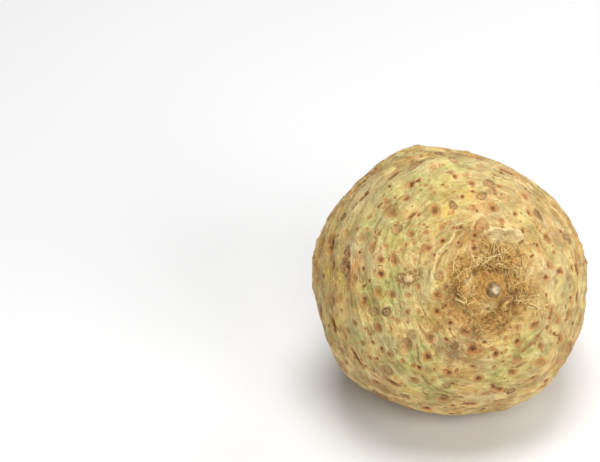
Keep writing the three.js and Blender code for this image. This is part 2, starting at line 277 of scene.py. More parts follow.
@dataclass(frozen=True)
class Swelling:
    """A broad swelling, or a hollow where its height is negative: in mm, spread over degrees."""

    facing: tuple[float, float, float]
    height: float
    spread: float


@dataclass(frozen=True)
class Fold:
    """A raised fold of skin near the root end: how high, how wide, and the places its crest runs through."""

    height: float
    width: float
    crest: Line


@dataclass(frozen=True)
class Rolls:
    """Low rolls that ring an end of the root, in mm: their pitch, their height, where they start and fade."""

    pitch: float
    height: float
    start: Span
    fade: Span

    def relief(self, distance: Array, wander: Array) -> Array:
        """Give the rolls' height at a distance from the end, where they lie some wander further on."""
        roll = np.sin(FULL_TURN * (distance + wander) / self.pitch)
        return self.height * roll * smooth(*self.start, distance) * (1 - smooth(*self.fade, distance))


GROWTH_ROLLS = Rolls(12.5, 0.42, (22, 34), (128, 142))
LEAF_BASE_RINGS = Rolls(5.4, 0.7, (20, 24), (33, 39))

SWELLINGS = (
    Swelling((0.78, -0.62, 0.1), 3.4, 26), Swelling((-0.35, 0.94, 0), 1.6, 24),
    Swelling((0.5, 0.87, 0), -2.6, 30), Swelling((0.26, 0.97, 0), -1.3, 13),
    Swelling((-0.16, -0.98, 0), -1.6, 17), Swelling((-0.7, -0.7, 0.05), 0.4, 20),
    Swelling((-0.94, -0.34, 0), 0.9, 9), Swelling((0.99, 0.15, 0.05), 1.5, 16),
    Swelling((-0.6, 0.25, -0.75), 1.8, 26), Swelling((0.5, 0.35, -0.8), 1.5, 24),
)

FOLDS = (
    Fold(1.8, 1.9, (
        (14.7, 20), (17.3, 21.1), (20, 21.9), (23.4, 20.9), (26.4, 21.6), (29, 19.9), (30.3, 17.4),
    )),
    Fold(1.5, 1.9, ((30.3, 17.4), (32.2, 15.7), (35.5, 10.6), (37.1, 6.9), (39, 3))),
    Fold(1.2, 1.6, ((39, 3), (41, 1), (43.3, 3), (45, 6.6))),
    Fold(1.4, 1.7, ((-7, 0), (-6.2, 5.1), (-4.5, 11.5), (-1.3, 14.9), (0.6, 15.8), (2.8, 20.4))),
    Fold(0.9, 1.5, ((-2.3, -2.2), (-1.7, 1), (-1.3, 5), (-0.6, 9.6), (0.6, 13))),
    Fold(1, 1.7, ((-2.6, -8), (-1, -14), (3, -19), (9, -21.5))),
    Fold(0.8, 1.6, ((20.4, 27.5), (12, 27.2), (6, 24.5), (1.5, 21.8))),
    Fold(0.8, 1.8, ((-14, -27), (-13, -32), (-10.5, -36), (-5, -38))),
    Fold(0.8, 1.8, ((27, -36.5), (33, -34), (38, -29.5))),
    Fold(0.8, 1.8, ((45.5, 9), (47, 0), (46.5, -9))),
)

# The scars that stand out most from the front: mm right of and above the middle, radius, stretch and tone.
FRONT_SCARS: dict[ScarKind, tuple[Row, ...]] = {
    ScarKind.RING: (
        (-44, 27, 2, 1, 0.9), (-26, -13, 1.9, 1, 1), (2, 32, 1.8, 1, 0.9), (38, 28, 2.2, 1.3, 0.95),
        (-15, -22, 1.7, 1, 0.2), (-26, -38, 2.1, 1.3, 0.4), (26.3, -46.4, 1.7, 1.1, 0.9), (-4, 2, 2, 1, 0.35),
        (14, 36, 1.7, 1.2, 0.6), (22, 36, 1.6, 1.3, 0.2), (-32, -13, 2, 1, 0.35),
    ),
    ScarKind.PATCH: (
        (-43, 6, 3, 1.1, 1), (-43, 12, 2.1, 1.4, 0.9), (-18.4, -27.3, 3, 1, 0.55), (-22, 22, 2.1, 1, 0.5),
        (-14, 49, 2.1, 1.8, 0.4), (14, 23, 2.6, 1, 0.3), (5, 54, 1.9, 2, 0.4), (49, 19, 2.1, 1, 0.8),
        (17.4, 41.4, 2.4, 1, 0.5), (18.2, 38.4, 1.6, 1, 0.7), (28.6, -33.8, 2.1, 1, 0.3),
    ),
    ScarKind.SLIT: (
        (-50, 15.6, 2.4, 1.8, 1), (-49, 6, 2, 1.6, 0.9), (-38, 41, 1.7, 2.8, 0.6), (-36, 36, 1.3, 3, 0.7),
        (-24, 45, 1.3, 3, 0.7), (-16, 28, 0.6, 4, 0.5), (-49, -18.6, 2.4, 1.5, 1), (-39, -33, 0.9, 5, 0.8),
        (-24, -43, 1, 3.5, 0.8), (-19, -49, 1.1, 3, 0.8), (9, -52, 1, 4.5, 0.8), (-2, -49, 1, 3.5, 0.8),
        (54, 5, 1.3, 2.4, 0.7), (54, -7, 1, 3, 0.6), (24.5, 46.3, 1.3, 3, 0.8),
    ),
    ScarKind.SPOT: (
        (-36, 19, 3.2, 1, 0.1), (-24, 29, 3, 1, 0.1), (-6, 30, 2.6, 1, 0.7), (-18, 35, 1.9, 1, 0.6),
        (-26, 34, 1.7, 1, 0.6), (-16, 41, 1.6, 1, 0.9), (-16, 20, 1.8, 1, 0.55), (-32, 14, 2, 1.4, 0.45),
        (-9, 14, 1.9, 1, 0.6), (-29, 9, 2, 1, 0.6), (-23, 9, 2.1, 1.2, 0.55), (-29, 3, 2, 1, 0.8),
        (-30, -5, 2.3, 1, 0.3), (-24, -6, 2, 1, 0.55), (-36, -8, 1.8, 1.5, 0.7), (-40, -18, 1.8, 1, 0.4),
        (-30, -20, 2.1, 1, 0.35), (-36, -26, 1.6, 1, 0.5), (-25, -31, 2.1, 1, 0.3), (-31, -43, 1.8, 1, 0.5),
        (-15, -42, 2.3, 1, 0.35), (-9, -32, 2.2, 1, 0.95), (-8, -24, 2.1, 1, 0.5), (-5, -13, 1.8, 1, 0.9),
        (-5, -6, 2, 1, 0.7), (6.8, -21.6, 1.9, 1, 0.7), (10, -29, 2.4, 1, 0.9), (20, -31, 2, 1, 0.85),
        (29.2, -26, 1.8, 1, 0.8), (38.9, -27.3, 2.2, 1, 0.55), (26.7, -38.3, 1.9, 1.2, 0.6),
        (12.5, -41.1, 2, 1, 0.95), (0, -39, 2, 1, 0.85), (21, -50, 2.2, 1, 0.95),
        (35.7, -41.1, 1.9, 1.3, 0.85), (47, -24, 2, 1, 0.6), (44, -13, 2, 1.4, 0.6), (51, -14, 2.1, 1, 0.45),
        (19, 31, 2.2, 1, 0.7), (28.2, 28.6, 1.3, 1, 0.8), (34, 29, 1.8, 1, 0.95), (31.4, 21.3, 1.6, 1, 1),
        (37.6, 15.2, 1.4, 1.1, 0.9), (42.4, 6.6, 1.5, 1, 0.6), (46.3, 31.5, 1.9, 1, 1), (-32, -38, 1.3, 1, 1),
        (38.5, -34.2, 1.9, 1.2, 0.35), (36.3, -18.6, 1.5, 1.5, 0.7), (32.3, 35.8, 1.9, 1.2, 0.5),
        (46.1, 4, 1.5, 1.2, 1), (-17, -6, 1.6, 1, 0.15), (-0.9, 40.2, 1.2, 1, 0), (0.7, 25.1, 1.2, 1, 0),
        (-43.3, 20.6, 1.6, 1, 0), (-6.6, 48.3, 1.4, 1.8, 0.1), (-43.2, -3.4, 1.4, 1.3, 0.1),
    ),
    ScarKind.NUB: ((-17, 1, 1.9, 1, 0.5),),
}

# Spots that are too small for the solid: mm right of and above the middle, radius and stretch.
DARK_SPOTS: tuple[Row, ...] = (
    (5.9, 35.6, 1.1, 1), (12, 29.3, 0.8, 1), (50.6, 16.3, 1.2, 1), (45.3, 32.9, 1.2, 1.5),
    (22.4, 46.3, 0.9, 2), (34.6, 10.3, 0.9, 1), (11.2, 19.5, 1, 1.3), (4.9, 22.6, 0.6, 2.4),
    (-2.6, 17, 1.6, 1), (5.9, 6.5, 0.9, 1), (-13, 42.7, 0.9, 2), (-2.4, 40.6, 0.6, 1), (-24.8, 40, 0.9, 1.4),
    (21.7, 40.6, 1.2, 1), (-5.9, 11, 0.8, 1), (-37.9, 12.2, 0.8, 1), (-33.7, 0.1, 0.9, 1),
    (-43.6, -34.8, 0.7, 1), (-17.3, -48.7, 1.2, 1.4), (-12.7, -36.9, 1.2, 1.3), (-2.2, -50.4, 0.8, 3),
    (-9.7, -48.3, 0.6, 3), (-28.7, -28.9, 1.1, 1), (15.4, -26.3, 1, 1.6), (23.3, -34.3, 0.9, 1),
    (55.4, -16.3, 1.1, 1), (52.3, -17.8, 1.2, 1), (51.5, -27.1, 1.1, 1), (41.3, -42.2, 1.2, 1.5),
    (25.6, -49.8, 1.2, 2), (21.7, -46.1, 1.8, 1), (10.3, -36.5, 1, 2), (1.7, -43.9, 0.8, 2),
    (18.4, -44.1, 0.8, 1.5), (-2.6, -50.4, 1.1, 2), (0.9, -17.5, 1.2, 1), (-1.4, -10.4, 1, 1),
    (15.4, -17.5, 0.8, 1), (9.5, -17.5, 0.9, 1), (-0.9, -2.4, 0.9, 1), (44.6, 31.6, 0.9, 1.6),
    (47.2, 21, 0.9, 1), (35.8, 15.7, 0.7, 1), (52.5, 6, 1, 2), (52.1, -7.1, 1, 1), (49.2, -10.3, 0.9, 1),
    (50, -16.4, 1, 1), (45.1, -22.6, 1, 1), (50.4, -25.8, 1, 1.4), (11.1, 14.5, 1.2, 1.3),
    (22.1, 22.3, 0.9, 1.4), (14.4, 22.7, 1.3, 1.5), (-1.3, -24.7, 0.9, 1), (4.3, 16.5, 0.8, 1),
    (42.3, -15.5, 1, 1), (-30.4, -33.1, 0.8, 1),
)
FAINT_SPOTS: tuple[Row, ...] = (
    (8.6, 30.7, 1.3, 1), (-33.5, 27.2, 0.9, 2.4), (37.5, 22.8, 1, 1), (42.4, 16.9, 1.2, 1),
    (43.1, 21.7, 1, 1), (44.3, 12, 1.1, 1), (48, 12.8, 1.3, 1), (25.4, 34.9, 0.8, 1), (7.4, 44.7, 1.3, 1.4),
    (10.2, 40.4, 1.1, 1), (31.1, 40.8, 1.1, 1.5), (35, 40.4, 1.1, 1.5), (0.3, 45.9, 1, 1.4), (12.2, 51, 1, 2),
    (8.6, 52.6, 1.1, 2), (30.3, 16.3, 0.9, 1), (10.6, 16.3, 0.8, 1), (22.4, 25.4, 1.4, 1.3),
    (34.4, 21.1, 0.8, 1), (-3, 23.4, 1.5, 1), (53.7, 12, 0.9, 1), (51, 1, 1.4, 1.2), (3.1, 8.9, 0.9, 1),
    (39.9, 36.4, 0.9, 1), (19.6, 44.3, 0.9, 2), (9, 47.3, 0.7, 3), (-9.7, 40.8, 1.3, 1), (-5.9, 37.6, 0.8, 1),
    (-27.2, 31.2, 0.8, 1.3), (-32.7, 45.7, 1.3, 2), (-10.3, 23.8, 0.8, 1), (-9.5, 20.7, 1.1, 1),
    (-14.6, 16.3, 1, 1), (-19.9, 13.2, 0.8, 1), (-9.5, 7.7, 1.2, 1), (-14.2, 8.9, 1.5, 1), (-15.8, 51, 1, 2),
    (-13.1, -2.4, 1.4, 1), (-12.7, -12.9, 1.2, 1), (-35, -20.1, 0.9, 1), (-33.3, -22.6, 1, 1),
    (-21.5, -17.2, 1.4, 1), (-4.9, -20.1, 1.2, 1), (-15.6, -35.7, 0.8, 1), (-45.9, -20.1, 1.2, 1.3),
    (-21.9, -50, 1.2, 2), (-20.3, -43.7, 0.8, 1.4), (-33.3, -32.3, 1.2, 1), (-45.9, -6.6, 1.6, 1.3),
    (-45.3, -12.5, 0.9, 1.3), (-40, 0.5, 1.8, 1.2), (-0.3, -25.1, 1.1, 1), (2.5, -23.9, 0.8, 1),
    (2.3, -27.1, 1.3, 1), (14.4, -29.4, 0.7, 1), (18.4, -28.4, 0.7, 2), (24.3, -24.7, 1.2, 1),
    (23.9, -29.2, 1.1, 1), (19.5, -36.7, 1.4, 1), (34.8, -26.7, 0.9, 1), (43.3, -21.8, 1.2, 1),
    (29.9, -20.6, 1.6, 1), (46, -16.5, 1.3, 1.2), (47.4, -5.9, 1.3, 1.3), (47.8, -34.5, 1.1, 1.3),
    (33.1, -42.2, 0.9, 2), (3.7, -37.7, 0.7, 1), (5.2, -40.6, 0.9, 1.4), (0.9, -34.6, 1.3, 1),
    (5.6, -44.5, 0.9, 2), (7.2, -47.5, 1.4, 1.6), (15.2, -47.5, 1.4, 1.8), (24.6, -42.4, 0.9, 1),
    (0.5, -13.7, 1.1, 1), (38, -23.3, 1, 1), (-26.5, 15, 1, 1), (-40, 31, 1.1, 1.5), (-21, -23.5, 1, 1),
)

# Patches of dead, matted skin, and patches of painted shade such as the dark band below the root end: mm
# right of and above the middle, radius, stretch and how strong each is. Where the strength is negative, the
# patch is paler than the skin
# round it: paler skin, and painted light where the lamps leave the skin darker, as on the upper left edge and
# on the flap under the upper fold.
MATS_AND_PAINTED_SHADING: tuple[Row, ...] = (
    (3.2, -6, 4, 1.9, 0.9), (16, 15.8, 2.2, 1.3, 0.6), (21.6, 12.2, 2.4, 1.3, 0.7), (1, 12, 2.4, 1.4, 0.5),
    (30.6, -6, 3.2, 1.7, 0.9), (8, -12.5, 3.4, 2, 0.45), (2, -13, 3, 1.8, 0.35), (24.6, -11, 2.6, 1.4, 1),
    (20.4, -15, 2.2, 1.3, 0.8), (16.2, -18, 2.4, 1.3, 0.85), (11.4, -21.8, 2.8, 1.3, 0.9),
    (13.5, -10.5, 3, 1.6, 0.3), (28.5, -14, 3.2, 1.6, 0.6), (-7, 27, 4, 1.8, 0.15), (3.3, 3.3, 1.8, 1.6, 0.6),
    (6.4, 4.7, 0.9, 1, 0.9), (12.3, 4, 1.5, 1.6, 0.95), (18, 6.4, 2.6, 1.8, 0.9),
    (20.4, 13.6, 2.6, 1.6, 0.95), (15.5, 11.5, 2.2, 1.4, 0.7), (22.5, 5.4, 1.8, 1.5, 0.95),
    (26.6, 4.6, 1.5, 1.4, 0.8), (27.2, 0, 1.1, 3, 0.9), (29.8, -5.6, 2.2, 1.5, 1),
    (27.5, -8.5, 1.8, 1.6, 0.8), (23.6, -11.5, 1.6, 2.2, 0.7), (30.5, -10.5, 2.4, 1.4, 0.85),
    (11, 18, 1, 2, 0.9), (5.6, 21.2, 0.8, 3, 0.9), (4.4, 15.2, 1.1, 1.6, 0.8), (23.6, -18.8, 2.6, 1.3, 0.8),
    (12.4, -23.2, 2.4, 1.5, 0.9), (6.4, -21.2, 1.7, 1.2, 0.9), (9.6, -29.4, 1.7, 1.4, 0.8),
    (2.2, -32, 2.6, 2.2, 0.7), (35.1, 3.7, 4, 1.2, -0.9), (36, -9.8, 2.8, 1.3, -0.6),
    (26.6, -10.8, 1, 2.6, -0.8), (18.9, 17, 1.2, 1.3, -1), (20.6, 19, 3, 1.3, -1),
    (26.4, 17.8, 1.7, 1.6, -0.8), (27.8, 18.6, 3.2, 1.4, -1), (9.6, 13.4, 2, 1.3, -0.5),
    (7.8, -1.6, 2.2, 1.4, -0.6), (16.8, -12, 3, 1.5, -0.7), (12.3, 8, 1.6, 1.2, -0.6),
    (40.4, 6, 3, 1.8, -0.7), (39, -10, 2.4, 1.3, -0.6), (30, 37, 6, 1.8, -0.4), (8, 45, 6, 1.8, -0.6),
    (46, 22, 5, 1.5, -0.35), (28, 27, 5, 1.5, -0.35), (-24, 41, 6, 1.8, -0.45), (-37, 35, 7, 2, -0.9),
    (-29, 25, 5, 1.6, -0.5), (-38, 17, 5, 1.5, -0.8), (-33, 9, 5, 1.5, -0.8), (-20, -8, 5, 1.6, -0.5),
    (-10, 2, 4, 1.6, -0.5), (-38, -20, 4, 2, -0.35), (-25, -27, 4, 1.6, -0.4), (48, 2, 6, 1.6, -0.4),
    (2, 38, 4, 1.4, -0.35), (-31, 35, 5, 1.6, -0.7), (-15, 35, 4, 1.6, -0.45), (12, 50, 6, 2, -0.7),
    (-8, 48, 6, 2, -0.6), (26, 43, 5, 2, -0.6), (-16, 9, 4, 1.6, -0.4), (-9, -1, 4, 1.8, -0.8),
    (-17, -6, 4, 1.8, -0.5), (41, -19, 4, 1.4, -0.5), (-4, -26, 3, 1.4, -0.4), (17, -49, 5, 1.6, -0.7),
    (47, 15, 4, 1.5, -0.4), (0, 30, 3, 1.5, 0.15), (-7.5, 23.5, 3.8, 1.6, 0.35), (5, -30, 3, 1.6, 0.45),
    (0, -35, 2.8, 1.5, 0.4), (-2, 36, 3, 1.5, 0.2), (3, 40, 4, 1.5, -0.5), (15, -25, 2.4, 1.3, 0.3),
    (17, 28, 4, 1.8, -0.45), (1, 25, 3, 1.3, -0.5), (43, -1, 4, 1.6, -0.8), (43, 21, 4, 1.5, -0.5),
    (-47, 18, 5, 1.8, -0.4), (-7, 12.5, 3.6, 1.5, 0.3), (1, 7, 2.6, 1.5, 0.3), (11, 8, 2.2, 1.5, 0.35),
    (40, -27, 4, 1.5, -0.5), (-21, -26, 3, 1.4, -0.4), (2, 25, 3, 1.4, -0.4), (15, -36, 4, 1.6, -0.4),
    (33, -40, 4, 1.6, -0.4), (7.6, -26, 2.4, 1.5, 0.6), (4.6, -29.6, 2.6, 1.5, 0.7), (-29, 33, 4, 1.5, -0.5),
    (-42, -17, 5, 1.8, -0.5), (-35, 11, 3.5, 1.4, -0.5), (-49.5, 13, 3, 1.8, 0.8),
    (19, -11.5, 2.2, 1.4, -0.8), (1, 39, 4, 1.5, -0.4), (1, 23, 3, 1.5, -0.6), (27.5, 38, 4, 1.5, -0.5),
    (-27, -26, 3.5, 1.5, -0.5), (-42, 16, 3, 1.5, -0.5),
)

# Thin creases, painted dark, each as a line of places, mm right of and above the middle. The dark is partly
# painted shade, as in the creases at the foot of the upper fold.
CREASES: tuple[Line, ...] = (
    ((-41.7, -28.1), (-39.2, -32.3), (-37.6, -35.3), (-35, -36.9)),
    ((-50.2, -17.6), (-48.5, -18.8), (-47.7, -21.3)), ((-26.6, -42.2), (-23.6, -42.8), (-20.7, -44.5)),
    ((-12.7, -18.4), (-10.6, -22.2), (-8.5, -24.7), (-4, -29)),
    ((-13.5, -26.8), (-12.7, -31.5), (-13.2, -34.4), (-8.5, -37.4)),
    ((-11.5, -40.3), (-9.4, -43.2), (-4.7, -45.8)), ((-41.5, 37.6), (-38.3, 40.8), (-35.5, 43.1)),
    ((-39.1, 34.1), (-35.9, 36.4), (-33.5, 37.6)), ((-17.8, 25.4), (-15.4, 27.7), (-13.8, 29.7)),
    ((-26.5, 44.7), (-22.5, 46.6)), ((-7.9, 46.3), (-3.2, 49.4)), ((-50.5, 12), (-49.3, 17.5), (-46.6, 19.9)),
    ((3.5, 22.4), (6.2, 22.6)), ((39.3, 16.7), (41.3, 13.2)), ((14.9, 18), (17, 19.6), (19, 20.6)),
    ((23.2, 19.6), (25.6, 20), (27.4, 19.2), (29, 17.2)), ((-5.4, 3.8), (-3.4, 9.8), (-0.6, 13.2)),
    ((20.9, 48.2), (26.3, 45.9)), ((22.4, 46.3), (27.9, 43.9)), ((-26, -0.5), (-25.8, -3)),
    ((-20.6, 0), (-20.9, -6), (-20.4, -12)), ((3.3, -52.4), (7.4, -52), (11.5, -52)),
    ((-3.6, -46.3), (1.3, -48.3), (3.7, -47.9)), ((28.2, -36.1), (33, -33.7)),
    ((26.8, 4.9), (28, 1.5), (28.3, -2.5), (29.3, -6)), ((27, -9.5), (23, -14.5), (19.5, -17)),
    ((-31, 24), (-28, 29), (-24.5, 33)), ((-11, 16), (-12.5, 9), (-12.8, 2)),
    ((-30, -44.5), (-25, -47.5), (-19, -50)), ((40, -20), (36, -26), (31, -30)),
)


class Hue(Enum):
    """What may tint the skin, by the channel of its attribute."""

    GREEN = 0
    YELLOW = 1
    PINK = 2
    BROWN = 3


# The tinted parts of the skin, in front and behind: mm right of and above the middle, how far each spreads,
# and how strong it is. The yellow and brown ones on the left edge are partly a painted orange reflection and
# painted shade.
TINTS: dict[Hue, tuple[Row, ...]] = {
    Hue.GREEN: (
        (-12, 43, 9, 0.9), (-24, 36, 9, 0.8), (-33, 22, 11, 0.9), (-22, 18, 9, 0.6), (-24, -5, 11, 0.95),
        (-35, -4, 8, 0.8), (-30, -24, 10, 0.5), (-9, 33, 7, 0.6), (-16, 24, 7, 0.5), (-16, -33, 11, 0.8),
        (-38.5, -24, 7, 0.7), (-8, -46, 10, 0.7), (24, -40, 12, 0.6), (36, -27, 10, 0.7), (48, -5, 12, 0.45),
        (2, 50, 10, 0.75), (22, 44, 9, 0.35),
    ),
    Hue.YELLOW: (
        (3, 39, 8, 1), (-1, 30, 7, 0.6), (1, 24, 7, 0.9), (-47, -3, 11, 1.1), (34, 20, 12, 0.4),
        (24, -30, 12, 0.4), (-8, 0, 8, 0.8), (-5, -12, 8, 0.7), (-20, 2, 8, 0.4), (-52, 2, 9, 1),
        (-50, -14, 12, 0.9), (-50, 16, 10, 0.8), (-45, 6, 8, 0.6),
    ),
    Hue.PINK: (
        (-46, 14, 7, 0.7), (-34, -24, 6, 0.6), (-10, 2, 9, 0.25), (-8, -17, 9, 0.2), (22, 36, 12, 0.35),
        (16, 46, 10, 0.2), (38, -4, 9, 0.5), (40, -32, 8, 0.6), (0, -52, 12, 0.6), (-40, 34, 8, 0.5),
    ),
    Hue.BROWN: (
        (-45, -8, 6, 0.7), (-40, 8, 7, 1), (-41, 0, 6, 1), (-50, -8, 8, 0.8), (-52, 8, 8, 0.5),
        (-54, 0, 9, 0.6), (44, 22, 9, 0.6), (36, 8, 10, 0.35), (10, -26, 9, 0.55), (4, -15, 9, 0.35),
        (14, 26, 6, 0.5), (6, 16, 6, 0.6),
    ),
}
TINTS_BEHIND: dict[Hue, tuple[Row, ...]] = {
    Hue.GREEN: ((-25, 20, 26, 0.7), (20, -25, 24, 0.6)),
    Hue.YELLOW: ((25, 25, 24, 0.6),),
    Hue.PINK: ((-30, -20, 22, 0.6),),
    Hue.BROWN: ((-5, 5, 26, 0.6),),
}


@dataclass
class SkinFields:
    """What is known at each point of the skin, besides where it is: the looks are painted from these.

    The reach is to the nearest scar, in its radii, and from_scar says where the point lies from that scar's
    middle. The growth, the tip's distance, the crest and the crease are in mm, and the rest are shares.
    """

    reach: Array
    from_scar: Array
    tone: Array
    kinds: Array
    growth: Array
    tip_distance: Array
    crest: Array
    crease: Array
    cut: Array
    tuft: Array
    # Matted patches and painted shade up to 1, paler patches and painted light down to -1.
    mat: Array
    tint: Array


@dataclass
class RootForm:
    """The grown form of the root, in mm in its own frame, and how it lies on the table."""

    girth_radius: float = 57.0
    tip_reach: float = 55.0
    crown_reach: float = 52.0
    crown_cut: float = 48.0
    crown_cosine: float = 0.6
    centre_height: float = 55.0
    front_rise: float = 38.0
    view_distance: float = 1050.0
    least_depth: float = 5.0
    tip_direction: tuple[float, float, float] = (0.34, -0.065, 0.94)
    dish_radius: float = 24.0
    dish_depth: float = 4.2
    dish_edge: Span = (0.35, 1.15)
    mound_radius: float = 9.0
    mound_height: float = 2.2
    mound_top: float = 0.2
    lump_count: int = 9
    lump_lengths: Span = (20.0, 46.0)
    lump_height: float = 0.3
    lump_seed: int = 37
    scar_seed: int = 23
    tone_seed: int = 5
    whorl_span: Span = (31.0, 139.0)
    whorl_pitch: Span = (8.0, 12.5)
    whorl_spacing: float = 1.15
    whorl_scatter: float = 0.7
    whorl_gap: float = 3.4
    scar_radii: Span = (1.3, 2.2)
    scar_stretch: Span = (1.0, 1.4)
    slit_stretch: Span = (2.2, 3.6)
    slit_width: float = 0.6
    patch_extra: Span = (0.4, 1.5)
    relief_radius: float = 2.1
    relief_reach: float = 2.6
    scar_depth: float = 0.75
    faintest: float = 0.55
    dark_tones: Span = (0.75, 1.0)
    faint_tones: Span = (0.15, 0.55)
    speckle_count: int = 330
    speckle_radii: Span = (0.6, 1.2)
    speckle_stretch: Span = (1.0, 1.5)
    speckle_gap: float = 1.2
    speckle_seed: int = 83
    growth_bend: float = 2.4
    growth_softness: float = 0.35
    fold_fading: float = 0.45
    tuft_edge: Span = (13.0, 29.0)

    def __post_init__(self) -> None:
        """Set the root's directions, its lumps and its scars."""
        self.tip = unit(self.tip_direction)
        self.crown = -self.tip
        self.right = unit(np.array((1.0, 0.0, 0.0)) - self.tip[0] * self.tip)
        self.up = np.cross(self.tip, self.right)
        self.tones = Draw(self.tone_seed)
        self.lumps = self._lump_waves()
        self.scars = self._front_scars()
        self.scars += self._whorled_scars()
        self.scars += self._small_spots()

    def _lump_waves(self) -> list[tuple[Array, float]]:
        """Draw the plane waves whose sum makes the root unevenly round.

        Returns:
            Each wave's direction, as long as it has radians over the root's radius, and its phase.
        """
        draw = Draw(self.lump_seed)
        lumps = []
        for _ in range(self.lump_count):
            across = unit([draw.number() - 0.5 for _ in range(3)])
            length = draw.between(*self.lump_lengths)
            lumps.append((across * FULL_TURN * self.girth_radius / length, FULL_TURN * draw.number()))
        return lumps

    def tip_distance(self, directions: Array) -> Array:
        """Give how far directions lie from the root end along the skin, in mm."""
        return self.girth_radius * angles(directions, self.tip)

    def bearing(self, directions: Array) -> Array:
        """Give the bearings of directions round the root end, in radians from the right, turning upwards."""
        return np.arctan2(directions @ self.up, directions @ self.right)

    def on_skin(self, distance: float, bearing: float) -> Array:
        """Find a direction by its place on the skin.

        Args:
            distance: How far it is from the root end, in mm.
            bearing: Its bearing round the root end, in radians.

        Returns:
            The direction.
        """
        angle = distance / self.girth_radius
        sideways = math.cos(bearing) * self.right + math.sin(bearing) * self.up
        return math.sin(angle) * sideways + math.cos(angle) * self.tip

    def _towards(self, right: float, up: float, reach: float) -> Array:
        """Find the direction of a place, mm right of and above the middle, on a plain ball round it."""
        return unit((right, up, math.sqrt(max(reach**2 - right**2 - up**2, self.least_depth**2))))

    def on_front(self, right: float, up: float) -> Array:
        """Find the direction of a place on a plain ball of the root's radius."""
        return self._towards(right, up, self.girth_radius)

    def seen_at(self, right: float, up: float) -> Array:
        """Find the direction of the skin that is seen at a place from the front.

        Args:
            right: How far right of the middle it is seen, in mm at the middle's distance.
            up: How far above the middle.

        Returns:
            The direction, found in a few steps as the skin's distance depends on it.
        """
        direction = self.on_front(right, up)
        for _ in range(4):
            reach = float(self._smooth_radius(direction[None])[0])
            nearer = 1 - reach * direction[2] / self.view_distance
            direction = self._towards(right * nearer, up * nearer, reach)
        return direction

    def _scar(self, kind: ScarKind, direction: Array, radius: float, stretch: float, tone: float) -> Scar:
        """Make a scar at a direction."""
        return Scar.facing(direction, self.tip, radius, stretch, kind, tone)

    def _front_scars(self) -> list[Scar]:
        """Place the scars that stand out from the front.

        Returns:
            The scars.
        """
        return [
            self._scar(kind, self.seen_at(right, up), *rest)
            for kind, sites in FRONT_SCARS.items()
            for right, up, *rest in sites
        ]

    def _small_spots(self) -> list[Scar]:
        """Place the small spots: those known on the front, and others strewn over the rest of the root.

        Returns:
            The small spots.
        """
        draw = Draw(self.speckle_seed)
        found: list[Scar] = []
        for sites, tones in ((DARK_SPOTS, self.dark_tones), (FAINT_SPOTS, self.faint_tones)):
            for right, up, radius, stretch in sites:
                place = self.seen_at(right, up)
                found.append(self._scar(ScarKind.SPOT, place, radius, stretch, draw.between(*tones)))
        on_front = len(found)
        for _ in range(self.speckle_count):
            height = draw.between(-1, 1)
            turn = draw.between(0, FULL_TURN)
            flat = math.sqrt(1 - height * height)
            place = np.array((flat * math.cos(turn), flat * math.sin(turn), height))
            radius = draw.between(*self.speckle_radii)
            tone = draw.number()
            if self._has_room(place, radius, self.scars + found, self.speckle_gap):
                stretch = draw.between(*self.speckle_stretch)
                found.append(self._scar(ScarKind.SPOT, place, radius, stretch, tone))
        log.info("%d small spots, %d of them on the front", len(found), on_front)
        return found

    def _whorled_scars(self) -> list[Scar]:
        """Place the rest of the scars, in uneven rows round the root end that open out towards the crown.

        Returns:
            The scars of the rows.
        """
        draw = Draw(self.scar_seed)
        first, last = self.whorl_span
        found: list[Scar] = []
        distance = first
        while distance < last:
            along = (distance - first) / (last - first)
            pitch = mix(*self.whorl_pitch, along)
            girth = FULL_TURN * self.girth_radius * math.sin(distance / self.girth_radius)
            in_row = round(girth / (self.whorl_spacing * pitch))
            turned = FULL_TURN * draw.number()
            for i in range(in_row):
                bearing = turned + FULL_TURN * (i + self._scatter(draw)) / in_row
                direction = self.on_skin(distance + self._scatter(draw) * pitch, bearing)
                size = draw.number()
                kind = self._kind_of(draw.number())
                slit = kind is ScarKind.SLIT
                radius = mix(*self.scar_radii, size)
                if kind is ScarKind.PATCH:
                    radius += mix(*self.patch_extra, along)
                if self._has_room(direction, radius, self.scars + found, self.whorl_gap):
                    width = self.slit_width * radius if slit else radius
                    stretch = mix(*(self.slit_stretch if slit else self.scar_stretch), size)
                    found.append(self._scar(kind, direction, width, stretch, self.tones.number()))
            distance += pitch
        return found

    def _scatter(self, draw: Draw) -> float:
        """Draw how far a scar strays from its place in a row, as a share of the pitch."""
        return self.whorl_scatter * (draw.number() - 0.5)

    @staticmethod
    def _kind_of(lot: float) -> ScarKind:
        """Choose a scar's kind by lot."""
        return next((kind for least, kind in KIND_LOTS if lot > least), ScarKind.SPOT)

    def _has_room(self, direction: Array, radius: float, others: list[Scar], gap: float) -> bool:
        """Tell whether a scar would keep clear of others.

        Args:
            direction: Where it would be.
            radius: Its radius in mm.
            others: The scars that it has to keep clear of.
            gap: By how many mm.

        Returns:
            Whether it would.
        """
        away = self.girth_radius * angles(np.array([other.direction for other in others]), direction)
        return bool(np.all(away > gap + radius + np.array([other.radius for other in others])))

    def _smooth_radius(self, directions: Array) -> Array:
        """Give the distance to the skin without its rolls, folds and scars: a lumpy ellipsoid with swellings.

        Args:
            directions: Unit directions, one to a row.

        Returns:
            One distance in mm for each.
        """
        along = directions @ self.tip
        end = np.where(along > 0, self.tip_reach, self.crown_reach)
        radius = 1 / np.sqrt((1 - along**2) / self.girth_radius**2 + along**2 / end**2)
        for swelling in SWELLINGS:
            away = angles(directions, unit(swelling.facing))
            radius += swelling.height * bell(away, math.radians(swelling.spread))
        for across, phase in self.lumps:
            radius += self.lump_height * np.sin(directions @ across + phase)
        return radius

